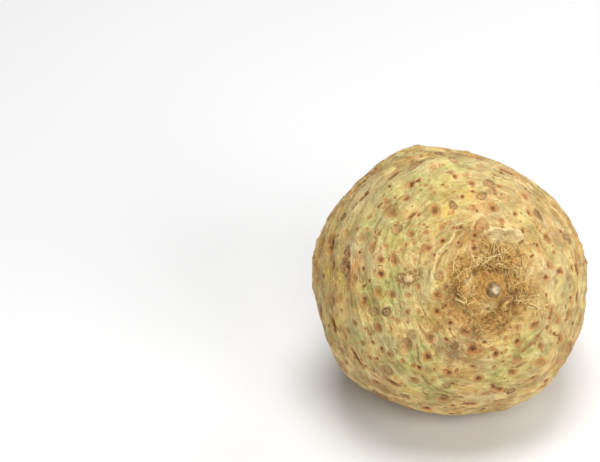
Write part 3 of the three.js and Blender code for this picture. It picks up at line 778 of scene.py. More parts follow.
    def _root_end(self, directions: Array, distance: Array) -> Array:
        """Give the dish, the mound in it and the folds round it.

        Args:
            directions: Unit directions, one to a row.
            distance: How far each lies from the root end, in mm.

        Returns:
            What they add to the skin, in mm.
        """
        dish = self.dish_depth * (1 - smooth(*self.dish_edge, distance / self.dish_radius))
        mound = self.mound_height * (1 - smooth(self.mound_top, 1, distance / self.mound_radius))
        folds = np.zeros_like(distance)
        for fold in FOLDS:
            away = self._line_distance(directions, (fold.crest,), FOLD_REACH)
            folds = np.maximum(folds, fold.height * bell(away, fold.width))
        return mound - dish + folds

    def _scarring(self, directions: Array) -> Array:
        """Give what the scars add to the skin.

        Args:
            directions: Unit directions, one to a row.

        Returns:
            How far out or in they bring it, in mm.
        """
        height = np.zeros(len(directions))
        for scar in self.scars:
            near = scar.near(directions)
            reach = scar.reach(directions[near], self.girth_radius)
            depth = self.scar_depth * scar.radius / self.relief_radius * mix(self.faintest, 1, scar.tone)
            relief = RELIEFS[scar.kind].height(reach) * depth
            height[near] += np.where(reach < self.relief_reach, relief, 0)
        return height

    def skin_radius(self, directions: Array) -> Array:
        """Give the distance from the middle to the skin.

        Args:
            directions: Unit directions, one to a row.

        Returns:
            One distance in mm for each.
        """
        distance = self.tip_distance(directions)
        bearing = self.bearing(directions)
        to_crown = math.pi * self.girth_radius - distance
        grown = self._smooth_radius(directions) + self._root_end(directions, distance)
        grown += GROWTH_ROLLS.relief(distance, waves(bearing, (3, 2, 0.8), (2, 5, distance / 16)))
        grown += LEAF_BASE_RINGS.relief(to_crown, waves(bearing, (1.6, 3, 0), (1.1, 7, 2)))
        grown += self._scarring(directions)
        facing = directions @ self.crown
        knife = self.crown_cut / np.maximum(facing, self.crown_cosine)
        return np.where(facing > self.crown_cosine, np.minimum(grown, knife), grown)

    def fields(self, directions: Array) -> SkinFields:
        """Work out what the looks are painted from.

        Args:
            directions: Unit directions, one to a row.

        Returns:
            The fields, one value or row for each direction.
        """
        distance = self.tip_distance(directions)
        bearing = self.bearing(directions)
        growth = distance + waves(bearing, (2.2, 2, 0.8), (1.2, 5, distance / 16))
        reach, from_scar, tone, kinds = self._scar_fields(directions, growth)
        facing = directions @ self.crown
        level = self.skin_radius(directions) * facing
        cut = (facing > self.crown_cosine) & (level > self.crown_cut - CUT_TOLERANCE)
        tuft = 1 - smooth(*self.tuft_edge, distance + waves(bearing, (2.0, 3, 1), (1.5, 5, 0)))
        crest = np.full(len(directions), FURTHEST)
        tallest = max(fold.height for fold in FOLDS)
        for fold in FOLDS:
            fainter = self.fold_fading * (tallest - fold.height)
            crest = np.minimum(crest, self._line_distance(directions, (fold.crest,)) + fainter)
        crease = self._line_distance(directions, CREASES)
        return SkinFields(
            reach, from_scar, tone, kinds, growth, distance, crest, crease, cut.astype(float), tuft,
            self._matting_and_painted_shading(directions), self._tinting(directions),
        )

    def _scar_fields(self, directions: Array, growth: Array) -> tuple[Array, Array, Array, Array]:
        """Find each direction's nearest scar, and bend the growth lines round the scars.

        Args:
            directions: Unit directions, one to a row.
            growth: How far along the growth each lies, in mm. It is changed in place.

        Returns:
            How many radii away the nearest scar is, where it lies from there, its tone and its kind.
        """
        count = len(directions)
        reach, tone = np.full(count, FURTHEST), np.zeros(count)
        from_scar, kinds = np.zeros((count, 3)), np.zeros((count, len(MARKED_KINDS)))
        for scar in self.scars:
            near = scar.near(directions)
            offset = scar.offset(directions[near], self.girth_radius)
            away = np.linalg.norm(offset, axis=1)
            bend = offset[:, 1] * scar.radius / (away * away + self.growth_softness)
            growth[near] += bend * bell(away, self.growth_bend)
            closer = away < reach[near]
            rows = near[closer]
            reach[rows] = away[closer]
            from_scar[rows, :2] = offset[closer]
            tone[rows] = scar.tone
            kinds[rows] = [kind is scar.kind for kind in MARKED_KINDS]
        return reach, from_scar, tone, kinds

    def _line_distance(
        self, directions: Array, lines: tuple[Line, ...], furthest: float = FURTHEST
    ) -> Array:
        """Measure how far directions lie from the nearest of some lines.

        Args:
            directions: Unit directions, one to a row.
            lines: The lines, as points on the front in mm.
            furthest: Where the measure stops, in mm.

        Returns:
            The distance in mm for each direction.
        """
        distance = np.full(len(directions), furthest)
        for line in lines:
            ends = [self.seen_at(*point) for point in line]
            for start, end in zip(ends, ends[1:]):
                near = np.flatnonzero(directions @ unit(start + end) > NEAR_COSINE)
                span = end - start
                share = np.clip((directions[near] - start) @ span / (span @ span), 0, 1)
                gap = np.linalg.norm(directions[near] - start - share[:, None] * span, axis=1)
                distance[near] = np.minimum(distance[near], self.girth_radius * gap)
        return distance

    def _tinting(self, directions: Array) -> Array:
        """Give how much of each hue tints the skin.

        Args:
            directions: Unit directions, one to a row.

        Returns:
            One column for each hue, from 0 to about 1.
        """
        weights = np.zeros((len(directions), len(Hue)))
        for tints, side in ((TINTS, 1), (TINTS_BEHIND, -1)):
            for hue, sites in tints.items():
                column = weights[:, hue.value]
                for right, up, spread, strength in sites:
                    facing = self.seen_at(right, up) * (1, 1, side)
                    away = self.girth_radius * angles(directions, facing)
                    np.maximum(column, strength * bell(away, spread), out=column)
        return weights

    def _matting_and_painted_shading(self, directions: Array) -> Array:
        """Give how matted or pale the skin is, with its patches of painted shade and painted light.

        Args:
            directions: Unit directions, one to a row.

        Returns:
            Up to 1 where it is matted and where shade is painted, down to -1 where it is pale and where light
            is painted.
        """
        matted_and_shaded, pale_and_painted_light = np.zeros((2, len(directions)))
        # Darker patches are matted skin and painted shade; paler ones are paler skin and painted light.
        for right, up, radius, stretch, strength in MATS_AND_PAINTED_SHADING:
            place = Blot.facing(self.seen_at(right, up), self.tip, radius, stretch)
            near = place.near(directions)
            side = matted_and_shaded if strength > 0 else pale_and_painted_light
            share = abs(strength) * bell(place.reach(directions[near], self.girth_radius), MAT_SOFTNESS)
            side[near] = np.maximum(side[near], share)
        return matted_and_shaded - pale_and_painted_light

    def laid_down(self) -> Matrix:
        """Lay the root down.

        Returns:
            The matrix from mm in the root's own frame to metres on the table.
        """
        turn = Matrix.Rotation(math.radians(90 - self.front_rise), 4, "X")
        lift = Matrix.Translation((0, 0, self.centre_height * MM))
        return lift @ turn @ Matrix.Scale(MM, 4)


@dataclass
class Table:
    """The place where the root lies: it carries points of the root's frame to the table."""

    form: RootForm
    offset: Array = field(default_factory=lambda: np.zeros(3))

    def __post_init__(self) -> None:
        """Read the matrix of the form once."""
        self.matrix = np.array(self.form.laid_down())

    def points(self, places: Array) -> Array:
        """Carry places in mm in the root's frame to metres on the table.

        Args:
            places: Places, one to a row.

        Returns:
            Points no lower than the table's top.
        """
        moved = places @ self.matrix[:3, :3].T + self.matrix[:3, 3] + self.offset
        moved[:, 2] = np.maximum(moved[:, 2], 0)
        return moved

    def centre_on(self, points: Array, box: tuple[Vector, Vector]) -> Array:
        """Line the root up with the solid's box.

        Args:
            points: The skin's points on the table.
            box: The solid's lowest and highest corner.

        Returns:
            The points, moved along the table.
        """
        shift = np.mean(box, axis=0) - (points.min(axis=0) + points.max(axis=0)) / 2
        shift[2] = 0
        self.offset = self.offset + shift
        return points + shift


# ---------------------------------------------------------------- modelling by hand


def deselect_all() -> None:
    """Leave nothing selected, so that an operator acts on the new piece alone."""
    for thing in bpy.context.view_layer.objects:
        thing.select_set(False)


def open_new() -> bpy.types.Object:
    """Open the primitive that was just added for editing, all of it selected.

    Returns:
        The primitive.
    """
    bpy.ops.object.mode_set(mode="EDIT")
    bpy.ops.mesh.select_all(action="SELECT")
    return bpy.context.active_object


def close_drawn_up() -> None:
    """Turn a drawn-up shape's faces outwards and close it."""
    bpy.ops.mesh.select_all(action="SELECT")
    bpy.ops.mesh.normals_make_consistent(inside=False)
    bpy.ops.object.mode_set(mode="OBJECT")


def apply_modifier(piece: bpy.types.Object, kind: str, **settings: float) -> None:
    """Give the active piece a modifier, and apply it.

    Args:
        piece: The active piece.
        kind: The modifier's kind.
        settings: Its properties.
    """
    modifier = piece.modifiers.new(kind.lower(), kind)
    for name, value in settings.items():
        setattr(modifier, name, value)
    bpy.ops.object.modifier_apply(modifier=modifier.name)


def vertices_of(piece: bpy.types.Object) -> Array:
    """Read a mesh's vertices.

    Args:
        piece: The mesh object.

    Returns:
        Their places, one to a row.
    """
    rows = np.empty(len(piece.data.vertices) * 3)
    piece.data.vertices.foreach_get("co", rows)
    return rows.reshape(-1, 3)


def set_vertices(piece: bpy.types.Object, rows: Array) -> None:
    """Move a mesh's vertices to rows."""
    piece.data.vertices.foreach_set("co", np.ascontiguousarray(rows, dtype=np.float32).ravel())
    piece.data.update()


def paint_points(mesh: bpy.types.Mesh, name: str, rows: Array) -> None:
    """Store a value, a vector or a colour for each vertex, for a material to read.

    Args:
        mesh: The mesh that is painted.
        name: The attribute's name.
        rows: One value for each vertex, or one row of three or four.
    """
    kind, key = {
        (): ("FLOAT", "value"), (3,): ("FLOAT_VECTOR", "vector"), (4,): ("FLOAT_COLOR", "color")
    }[rows.shape[1:]]
    layer = mesh.attributes.new(name, kind, "POINT")
    layer.data.foreach_set(key, np.ascontiguousarray(rows, dtype=np.float32).ravel())


# ---------------------------------------------------------------- materials


def paint(*display: int) -> Colour:
    """Turn a display colour into the linear one that a material takes.

    Args:
        display: Its red, green and blue, 0 to 255.

    Returns:
        The colour, opaque.
    """
    shares = (channel / 255 for channel in display)
    linear = (share / 12.92 if share <= 0.04045 else ((share + 0.055) / 1.055) ** 2.4 for share in shares)
    return (*linear, 1.0)


class NodeSheet:
    """A hand for laying out a node tree: each method adds a node and gives its output."""

    # The inputs of a mix node that take the share and the two values, or the two colours.
    VALUES = (0, 2, 3)
    COLOURS = (0, 6, 7)

    def __init__(self, tree: bpy.types.NodeTree) -> None:
        """Work on a tree."""
        self.tree = tree

    def node(
        self, kind: str, given: dict[str | int, object] | None = None, **settings: object
    ) -> bpy.types.Node:
        """Add a node.

        Args:
            kind: Its kind.
            given: What its inputs take, by their names or numbers.
            settings: Its properties.

        Returns:
            The node.
        """
        added = self.tree.nodes.new(kind)
        for name, value in settings.items():
            setattr(added, name, value)
        for key, value in (given or {}).items():
            self.feed(added.inputs[key], value)
        return added

    def feed(self, socket: Socket, value: object) -> None:
        """Give an input what it takes.

        Args:
            socket: The input.
            value: Another node's output, which is linked to it, or a plain value.
        """
        if isinstance(value, bpy.types.NodeSocket):
            self.tree.links.new(value, socket)
        else:
            socket.default_value = value

    def attribute(self, name: str, output: str = "Fac") -> Socket:
        """Read a value that is painted on the points."""
        return self.node("ShaderNodeAttribute", attribute_name=name).outputs[output]

    def place(self) -> Socket:
        """Give the place on the object, in metres."""
        return self.node("ShaderNodeTexCoord").outputs["Object"]

    def math(self, operation: str, first: Value, second: Value = 0.0, clamp: bool = False) -> Socket:
        """Work out a sum of two values."""
        added = self.node("ShaderNodeMath", {0: first, 1: second}, operation=operation, use_clamp=clamp)
        return added.outputs[0]

    def plus(self, *values: Value) -> Socket:
        """Add values up."""
        return reduce(lambda first, second: self.math("ADD", first, second), values)

    def times(self, *values: Value) -> Socket:
        """Multiply values."""
        return reduce(lambda first, second: self.math("MULTIPLY", first, second), values)

    def most(self, *values: Value) -> Socket:
        """Give the greatest of values."""
        return reduce(lambda first, second: self.math("MAXIMUM", first, second), values)

    def less(self, first: Value, second: Value, clamp: bool = False) -> Socket:
        """Take the second value from the first."""
        return self.math("SUBTRACT", first, second, clamp)

    def about(self, value: Value, height: float) -> Socket:
        """Let a value that lies round 0.5 lie round 0, times a height."""
        return self.times(self.less(value, 0.5), height)

    def step(self, value: Value, low: Value, high: Value) -> Socket:
        """Give 0 at low and 1 at high, with a smooth step between them. High may be the lesser."""
        given = {"Value": value, "From Min": low, "From Max": high}
        return self.node("ShaderNodeMapRange", given, interpolation_type="SMOOTHSTEP").outputs["Result"]

    def band(self, value: Value, middle: float, width: float) -> Socket:
        """Give 1 at the middle, falling to 0 a width away on both sides."""
        return self.step(self.math("ABSOLUTE", self.less(value, middle)), width, 0.0)

    def blend(self, share: Value, first: Value, second: Value) -> Socket:
        """Go a share of the way from the first value to the second."""
        given = dict(zip(self.VALUES, (share, first, second)))
        return self.node("ShaderNodeMix", given, data_type="FLOAT").outputs[0]

    def mix(self, share: Value, first: Paint, second: Paint, how: str = "MIX") -> Socket:
        """Blend from the first colour to the second by a share."""
        given = dict(zip(self.COLOURS, (share, first, second)))
        return self.node("ShaderNodeMix", given, data_type="RGBA", blend_type=how).outputs[2]

    def noise(self, place: Socket, scale: Value, detail: float = 3.0, roughness: float = 0.55) -> Socket:
        """Give a soft noise round 0.5."""
        given = {"Vector": place, "Scale": scale, "Detail": detail, "Roughness": roughness}
        return self.node("ShaderNodeTexNoise", given).outputs["Fac"]

    def channels(self, colour: Socket) -> list[Socket]:
        """Split a colour into its red, green and blue."""
        return list(self.node("ShaderNodeSeparateColor", {0: colour}).outputs)

    def moved(self, place: Socket, size: Socket, shift: Socket) -> Socket:
        """Count a place in sizes, and shift it."""
        counted = self.node("ShaderNodeVectorMath", {0: place, 1: size}, operation="DIVIDE").outputs[0]
        return self.node("ShaderNodeVectorMath", {0: counted, 1: shift}, operation="ADD").outputs[0]

    def length(self, vector: Socket) -> Socket:
        """Measure a vector."""
        return self.node("ShaderNodeVectorMath", {0: vector}, operation="LENGTH").outputs["Value"]


@dataclass
class SharedEffects:
    """The node groups that materials place: streaks along the growth, fine grit and small round specks."""

    def __post_init__(self) -> None:
        """Build each group once."""
        self.streaks = self._streaks()
        self.grit = self._grit()
        self.specks = self._specks()

    @staticmethod
    def _group(
        name: str, outputs: tuple[str, ...], **inputs: float | None
    ) -> tuple[NodeSheet, bpy.types.NodeOutputs, bpy.types.NodeInputs]:
        """Start a group with its named sockets.

        Args:
            name: The group's name.
            outputs: The names of its outputs, each a value.
            inputs: Its inputs and their values, or None for the growth coordinates.

        Returns:
            Its sheet, what it is given, and what it gives.
        """
        tree = bpy.data.node_groups.new(name, "ShaderNodeTree")
        for label, value in inputs.items():
            kind = "NodeSocketVector" if value is None else "NodeSocketFloat"
            socket = tree.interface.new_socket(label, in_out="INPUT", socket_type=kind)
            if value is not None:
                socket.default_value = value
        for label in outputs:
            tree.interface.new_socket(label, in_out="OUTPUT", socket_type="NodeSocketFloat")
        sheet = NodeSheet(tree)
        return sheet, sheet.node("NodeGroupInput").outputs, sheet.node("NodeGroupOutput").inputs

    def _streaks(self) -> bpy.types.NodeTree:
        """Build the streaks: a noise drawn out along the growth lines, cut between two levels.

        Returns:
            The group's tree.
        """
        sheet, given, gives = self._group(
            "streaks", ("Mask",), Grain=None, Across=2.0, Along=14.0, Low=0.5, High=0.6, Shift=0.0
        )
        axes = {0: given["Across"], 1: given["Along"], 2: given["Along"]}
        size = sheet.node("ShaderNodeCombineXYZ", axes).outputs[0]
        drawn_out = sheet.noise(sheet.moved(given["Grain"], size, given["Shift"]), 1.0)
        sheet.feed(gives["Mask"], sheet.step(drawn_out, given["Low"], given["High"]))
        return sheet.tree

    def _specks(self) -> bpy.types.NodeTree:
        """Build the specks: uneven round dots, one at most in each cell of a given width in mm.

        Returns:
            The group's tree.
        """
        sheet, given, gives = self._group(
            "specks", ("Mask", "Core", "Tone"), Grain=None, Cell=4.0, Radius=0.3, Ragged=0.25, Shift=0.0
        )
        place = sheet.moved(given["Grain"], given["Cell"], given["Shift"])
        cells = sheet.node("ShaderNodeTexVoronoi", {"Vector": place, "Scale": 1.0}).outputs
        lot, tone = sheet.channels(cells["Color"])[:2]
        away = sheet.plus(cells["Distance"], sheet.about(sheet.noise(place, 3.5, 2.0), given["Ragged"]))
        radius = sheet.times(given["Radius"], sheet.plus(0.35, lot))
        sheet.feed(gives["Mask"], sheet.step(away, radius, sheet.times(radius, 0.4)))
        sheet.feed(gives["Core"], sheet.step(away, sheet.times(radius, 0.6), 0.0))
        sheet.feed(gives["Tone"], tone)
        return sheet.tree

    def _grit(self) -> bpy.types.NodeTree:
        """Build the grit: a fine even noise, given in cycles for each metre.

        Returns:
            The group's tree.
        """
        sheet, given, gives = self._group("grit", ("Mask",), Fineness=700.0, Low=0.4, High=0.65)
        even = sheet.noise(sheet.place(), given["Fineness"], 4.0, 0.6)
        sheet.feed(gives["Mask"], sheet.step(even, given["Low"], given["High"]))
        return sheet.tree


class Coat(NodeSheet):
    """One material while it is painted: its shader, and its colour as it is covered layer by layer."""

    def __init__(self, name: str, effects: SharedEffects | None = None) -> None:
        """Start a material.

        Args:
            name: Its name.
            effects: The shared node groups that it may place.
        """
        self.material = bpy.data.materials.new(name)
        self.material.use_nodes = True
        self.material.node_tree.nodes.clear()
        super().__init__(self.material.node_tree)
        self.effects = effects
        self.colour: Paint = WHITE
        self.shader = self.node("ShaderNodeBsdfPrincipled")
        self.node("ShaderNodeOutputMaterial", {"Surface": self.shader.outputs[0]})

    @cached_property
    def grain(self) -> Socket:
        """Read the growth coordinates, once."""
        return self.attribute("grain", "Vector")

    def cover(self, share: Value, colour: Paint, how: str = "MIX") -> None:
        """Cover a share of the colour so far with another one."""
        self.colour = self.mix(share, self.colour, colour, how)

    def effect(self, group: bpy.types.NodeTree, **given: Value) -> bpy.types.NodeOutputs:
        """Place a shared effect."""
        return self.node("ShaderNodeGroup", given, node_tree=group).outputs

    def grit(self, fineness: float, low: float, high: float) -> Socket:
        """Place grit, in cycles for each metre, cut between two levels."""
        return self.effect(self.effects.grit, Fineness=fineness, Low=low, High=high)[0]

    def streaks(self, across: float, along: float, low: float, high: float, shift: float) -> Socket:
        """Place streaks, across and along the growth in mm, cut between two levels."""
        given = {"Across": across, "Along": along, "Low": low, "High": high, "Shift": shift}
        return self.effect(self.effects.streaks, Grain=self.grain, **given)[0]

    def close(self, roughness: float, height: Value | None = None, relief: float = 0.0) -> bpy.types.Material:
        """Finish the material.

        Args:
            roughness: How rough it is.
            height: Its fine relief, if it has any.
            relief: How deep that is, in metres.

        Returns:
            The material.
        """
        self.feed(self.shader.inputs["Base Color"], self.colour)
        self.shader.inputs["Roughness"].default_value = roughness
        if height is not None:
            bump = self.node("ShaderNodeBump", {"Height": height, "Distance": relief})
            self.feed(self.shader.inputs["Normal"], bump.outputs[0])
        return self.material


@dataclass(frozen=True)
class Finish(ABC):
    """A finish: its name, how rough it is, and how deep its fine relief is, in metres."""

    name: str
    roughness: float = 0.6
    relief: float = 0.0002

    def material(self, effects: SharedEffects) -> bpy.types.Material:
        """Build the material from the shared node groups."""
        coat = Coat(self.name, effects)
        return coat.close(self.roughness, self.dress(coat), self.relief)

    @abstractmethod
    def dress(self, coat: Coat) -> Socket | None:
        """Paint a coat, and give its fine relief if it has any."""


@dataclass(frozen=True)
class SkinFinish(Finish):
    """The grown skin: cream to tan, green streaks, orange-brown scars, a brown matted root end, and painted
    light and shade.
    """

    name: str = "celeriac_skin"
    relief: float = 0.0004
    cream: Colour = paint(247, 223, 148)
    tan: Colour = paint(222, 177, 96)
    green: Colour = paint(188, 204, 104)
    yellow: Colour = paint(240, 214, 98)
    pink: Colour = paint(228, 174, 116)
    olive: Colour = paint(186, 170, 104)
    shade: Colour = paint(206, 202, 190)
    # Pale skin; also the painted highlight on the fold crests and scar rims, and the painted light in pale
    # patches.
    pale: Colour = paint(248, 230, 172)
    halo: Colour = paint(212, 142, 76)
    # Dark brown of scar cores; also painted as shade in the creases and round the nub.
    core: Colour = paint(146, 94, 46)
    pit: Colour = paint(84, 54, 26)
    cork: Colour = paint(196, 156, 112)
    nub: Colour = paint(232, 200, 142)
    ring: Colour = paint(88, 68, 38)
    crumb: Colour = paint(128, 94, 58)
    dish: Colour = paint(222, 166, 80)
    dish_dark: Colour = paint(174, 118, 50)
    # Dark brown of matted skin and crumbs, also painted as shade in the shaded patches and round the stub's
    # foot.
    mat: Colour = paint(116, 74, 28)
    cut: Colour = paint(222, 196, 140)

    def dress(self, coat: Coat) -> Socket:
        """Paint the skin, from its ground up to the crown's cut.

        Args:
            coat: The skin's coat.

        Returns:
            Its fine relief.
        """
        tuft = coat.attribute("tuft")
        self._ground(coat)
        dots = self._specks(coat)
        self._root_end(coat, tuft)
        hollow = self._scars(coat)
        self._crown(coat)
        fine = coat.streaks(0.7, 5.0, 0.3, 0.7, 7.0)
        grit = coat.times(coat.grit(900.0, 0.3, 0.7), coat.plus(0.7, tuft))
        raised = coat.plus(coat.times(fine, 0.6), grit)
        return coat.less(raised, coat.plus(coat.times(hollow, 1.4), dots))

    def _ground(self, coat: Coat) -> None:
        """Lay the ground colour of the skin, streaked along its growth, with painted highlight on crests,
        shade in creases.

        Args:
            coat: The skin's coat.
        """
        def frayed(weight: Socket, *sizes: float) -> Socket:
            """Break a smooth weight up along streaks, so that its edge frays."""
            return coat.times(weight, coat.plus(0.35, coat.times(coat.streaks(*sizes), 0.65)))

        green, yellow, pink = coat.channels(coat.attribute("tint", "Color"))[:3]
        brown = coat.attribute("tint", "Alpha")
        coat.colour = self.tan
        coat.cover(coat.streaks(5, 10, 0.38, 0.6, 3), self.cream)
        few = coat.times(coat.streaks(5, 10, 0.5, 0.66, 21), 0.6)
        coat.cover(coat.most(few, frayed(pink, 4, 7, 0.3, 0.6, 23)), self.pink)
        # The yellow and brown tints on the left edge are partly a painted orange reflection and painted
        # shade.
        coat.cover(frayed(yellow, 6, 10, 0.3, 0.6, 33), self.yellow)
        coat.cover(frayed(green, 5, 9, 0.3, 0.6, 47), self.green)
        coat.cover(frayed(brown, 3, 5, 0.35, 0.6, 51), self.halo)
        coat.cover(coat.times(coat.streaks(2.2, 3.6, 0.52, 0.66, 55), 0.55), self.halo)
        coat.cover(coat.times(coat.streaks(3.8, 6, 0.5, 0.62, 91), 0.4), self.olive)
        coat.cover(coat.times(coat.streaks(3.4, 5, 0.55, 0.65, 103), 0.5), self.cream)
        coat.cover(coat.step(coat.noise(coat.place(), 130.0), 0.35, 0.65), self.shade, "MULTIPLY")
        coat.cover(coat.times(coat.streaks(1.5, 8, 0.54, 0.68, 61), 0.3), self.pale)
        coat.cover(coat.times(coat.streaks(1.1, 7, 0.55, 0.7, 77), 0.35), self.shade, "MULTIPLY")
        coat.cover(coat.times(coat.streaks(0.7, 2.4, 0.55, 0.7, 88), 0.45), self.shade, "MULTIPLY")
        # A pale line along the fold crests: partly the crests' paler skin, partly a painted highlight along
        # them.
        wavy = coat.about(coat.noise(coat.place(), 600.0), 1.6)
        crest = coat.step(coat.plus(coat.attribute("crest"), wavy), 0.8, 0.1)
        coat.cover(coat.times(crest, 0.85), self.pale)
        # The creases, painted dark: partly painted shade, as at the foot of the folds.
        crease = coat.step(coat.plus(coat.attribute("crease"), wavy), 0.75, 0.1)
        coat.cover(coat.times(crease, 0.8), self.core)

    def _specks(self, coat: Coat) -> Socket:
        """Scatter small specks between the scars.

        Args:
            coat: The skin's coat.

        Returns:
            Where the specks are hollow.
        """
        specks = coat.effects.specks
        coarse = coat.effect(specks, Grain=coat.grain, Cell=5.2, Radius=0.30, Ragged=0.3, Shift=2.0)
        small = coat.effect(specks, Grain=coat.grain, Cell=2.6, Radius=0.34, Ragged=0.4, Shift=19.0)
        shade = coat.plus(0.45, coat.times(coarse["Tone"], 0.5))
        coat.cover(coat.times(coarse["Mask"], shade), self.halo)
        coat.cover(coat.times(coarse["Core"], shade), self.core)
        faint = coat.times(small["Mask"], coat.step(small["Tone"], 0.35, 1.0))
        coat.cover(coat.times(faint, 0.85), self.core)
        return coat.most(coarse["Core"], coat.times(faint, 0.5))

    def _scars(self, coat: Coat) -> Socket:
        """Paint the scars over the skin: first the plain spots' halo, core and pit, then the marked kinds.

        Args:
            coat: The skin's coat.

        Returns:
            How hollow the scars are.
        """
        ring, patch, slit = coat.channels(coat.attribute("kinds", "Color"))[:3]
        nub = coat.attribute("kinds", "Alpha")
        tone = coat.attribute("tone")
        coarse = coat.attribute("reach")
        exact = coat.length(coat.attribute("from_scar", "Vector"))
        ragged = coat.about(coat.noise(coat.place(), 520.0, 4.0, 0.65), 1.3)
        closer = coat.blend(coat.step(coarse, 1.3, 2.0), exact, coarse)
        reach = coat.plus(closer, coat.times(ragged, coat.blend(ring, 1.0, 0.4)))
        broken = coat.grit(330.0, 0.38, 0.6)
        crumb = coat.grit(900.0, 0.45, 0.58)
        arcs = coat.grit(210.0, 0.42, 0.56)
        plain = coat.less(1.0, coat.plus(ring, patch, slit, nub), clamp=True)

        def within(outer: float, inner: float) -> Socket:
            """Give 0 outside an outer reach and 1 inside an inner one."""
            return coat.step(reach, outer, inner)

        def toned(faint: float, strong: float) -> Socket:
            """Go from a faint scar's strength to a strong one's."""
            return coat.blend(tone, faint, strong)

        halo = coat.times(within(1.5, 0.5), toned(0.35, 0.85), coat.blend(broken, 0.6, 1.1))
        coat.cover(coat.times(halo, coat.less(coat.less(1.0, nub), coat.times(ring, 0.5))), self.halo)
        # A pale band round each scar, on the outer slope of its raised rim: partly paler skin, partly a
        # painted highlight.
        coat.cover(coat.times(coat.band(reach, 1.55, 0.35), broken, 0.35), self.pale)
        crumbled = coat.plus(0.6, coat.times(crumb, 0.4))
        coat.cover(coat.times(within(1.05, 0.3), plain, crumbled, toned(0.45, 1.0)), self.core)
        pit = coat.times(within(0.65, 0.1), plain, coat.step(tone, 0.4, 0.9))
        coat.cover(coat.times(pit, coat.blend(crumb, 0.5, 1.0)), self.pit)

        filling = coat.times(within(1.2, 0.75), coat.plus(ring, patch))
        coat.cover(coat.times(filling, coat.blend(ring, 1.0, 0.3), toned(0.2, 0.6)), self.cork)
        grains = coat.times(filling, crumb, patch, toned(0.0, 0.75))
        coat.cover(grains, self.crumb)
        coat.cover(coat.times(within(1.1, 0.6), ring, toned(0.0, 0.7)), self.core)
        worn = coat.times(coat.blend(broken, 0.6, 1.0), coat.blend(arcs, 0.55, 1.0))
        coat.cover(coat.times(coat.band(reach, 0.9, 0.42), ring, worn, toned(0.3, 0.95)), self.ring)
        coat.cover(coat.times(coat.band(reach, 0.45, 0.3), ring, toned(0.0, 0.15)), self.pale)
        coat.cover(coat.times(within(0.3, 0.0), ring, arcs, toned(0.0, 0.8)), self.ring)
        edge = coat.times(coat.band(reach, 1.0, 0.25), patch, broken)
        coat.cover(coat.times(edge, toned(0.0, 0.8)), self.crumb)

        groove = coat.times(within(1.1, 0.35), slit)
        coat.cover(coat.times(groove, toned(0.4, 0.9)), self.pit)
        coat.cover(coat.times(within(1.3, 0.6), nub), self.nub)
        coat.cover(coat.times(crumb, within(0.1, 0.9), nub, 0.8), self.core)
        # A dark band in the hollow round the nub: partly its brown edge, partly painted shade.
        coat.cover(coat.times(coat.band(reach, 1.3, 0.5), nub, broken), self.core)
        return coat.most(pit, groove, grains, edge)

    def _root_end(self, coat: Coat, tuft: Socket) -> None:
        """Brown the root end, in rings round the stub, the innermost partly painted shade, and in patches,
        some painted shade.

        Args:
            coat: The skin's coat.
            tuft: How near the root end the skin is, from 0 to 1.
        """
        tip = coat.attribute("tip_distance")
        matting_and_shade = coat.most(coat.attribute("mat"), 0.0)
        pale_and_painted_light = coat.most(coat.times(coat.attribute("mat"), -1.0), 0.0)
        coat.cover(coat.times(tuft, 0.72), self.dish)
        coat.cover(coat.times(coat.streaks(1.8, 3.4, 0.5, 0.66, 11.0), tuft, 0.8), self.dish_dark)
        strands = coat.streaks(1.2, 3.4, 0.52, 0.64, 29.0)
        coat.cover(coat.times(strands, tuft, coat.step(tip, 6.0, 10.0), 0.75), self.cream)
        crumbs = coat.times(coat.grit(520.0, 0.5, 0.62), tuft, coat.step(tip, 7.0, 13.0))
        coat.cover(coat.times(crumbs, 0.65), self.mat)
        clotted = coat.grit(420.0, 0.3, 0.55)
        # Paler patches and painted light, then matted patches and painted shade.
        coat.cover(coat.times(pale_and_painted_light, coat.blend(strands, 0.5, 0.95)), self.pale)
        coat.cover(coat.times(matting_and_shade, coat.blend(clotted, 0.45, 0.95)), self.mat)
        distance = coat.plus(tip, coat.about(clotted, 0.5))
        # Rings round the stub, painted brown: the innermost, hugging the stub's foot, is partly painted shade
        # under the stub.
        middle = coat.band(distance, 3.3, 0.6)
        next_out = coat.times(coat.band(distance, 4.9, 0.4), 0.6)
        outmost = coat.times(coat.band(distance, 6.4, 0.4), 0.4)
        coat.cover(coat.times(coat.most(middle, next_out, outmost), 0.55), self.mat)

    def _crown(self, coat: Coat) -> None:
        """Show the flesh where the crown is cut, with its veins in two rings.

        Args:
            coat: The skin's coat.
        """
        blotches = coat.grit(240.0, 0.48, 0.62)
        distance = coat.plus(coat.attribute("tip_distance"), coat.about(blotches, 0.8))
        veins = coat.most(coat.band(distance, 157.5, 0.8), coat.band(distance, 160.5, 0.5))
        flesh = coat.mix(coat.times(coat.streaks(1.4, 5.0, 0.45, 0.7, 5.0), 0.7), self.cut, self.halo)
        flesh = coat.mix(coat.times(blotches, 0.5), flesh, self.core)
        flesh = coat.mix(coat.times(veins, 0.6), flesh, self.core)
        coat.cover(coat.attribute("cut"), flesh)


@dataclass(frozen=True)
class FibreFinish(Finish):
    """Dry rootlets, from dark brown to straw."""

    roughness: float = 0.7
    dark: Colour = paint(132, 88, 40)
    straw: Colour = paint(224, 180, 100)
    pale: Colour = paint(255, 236, 172)

    def dress(self, coat: Coat) -> None:
        """Paint the rootlets by their tone.

        Args:
            coat: The rootlets' coat.
        """
        tone = coat.attribute("tone")
        coat.colour = self.dark
        coat.cover(coat.step(tone, 0.05, 0.45), self.straw)
        coat.cover(coat.step(tone, 0.5, 1.0), self.pale)
        coat.cover(coat.times(coat.grit(500.0, 0.45, 0.7), 0.45), self.dark)


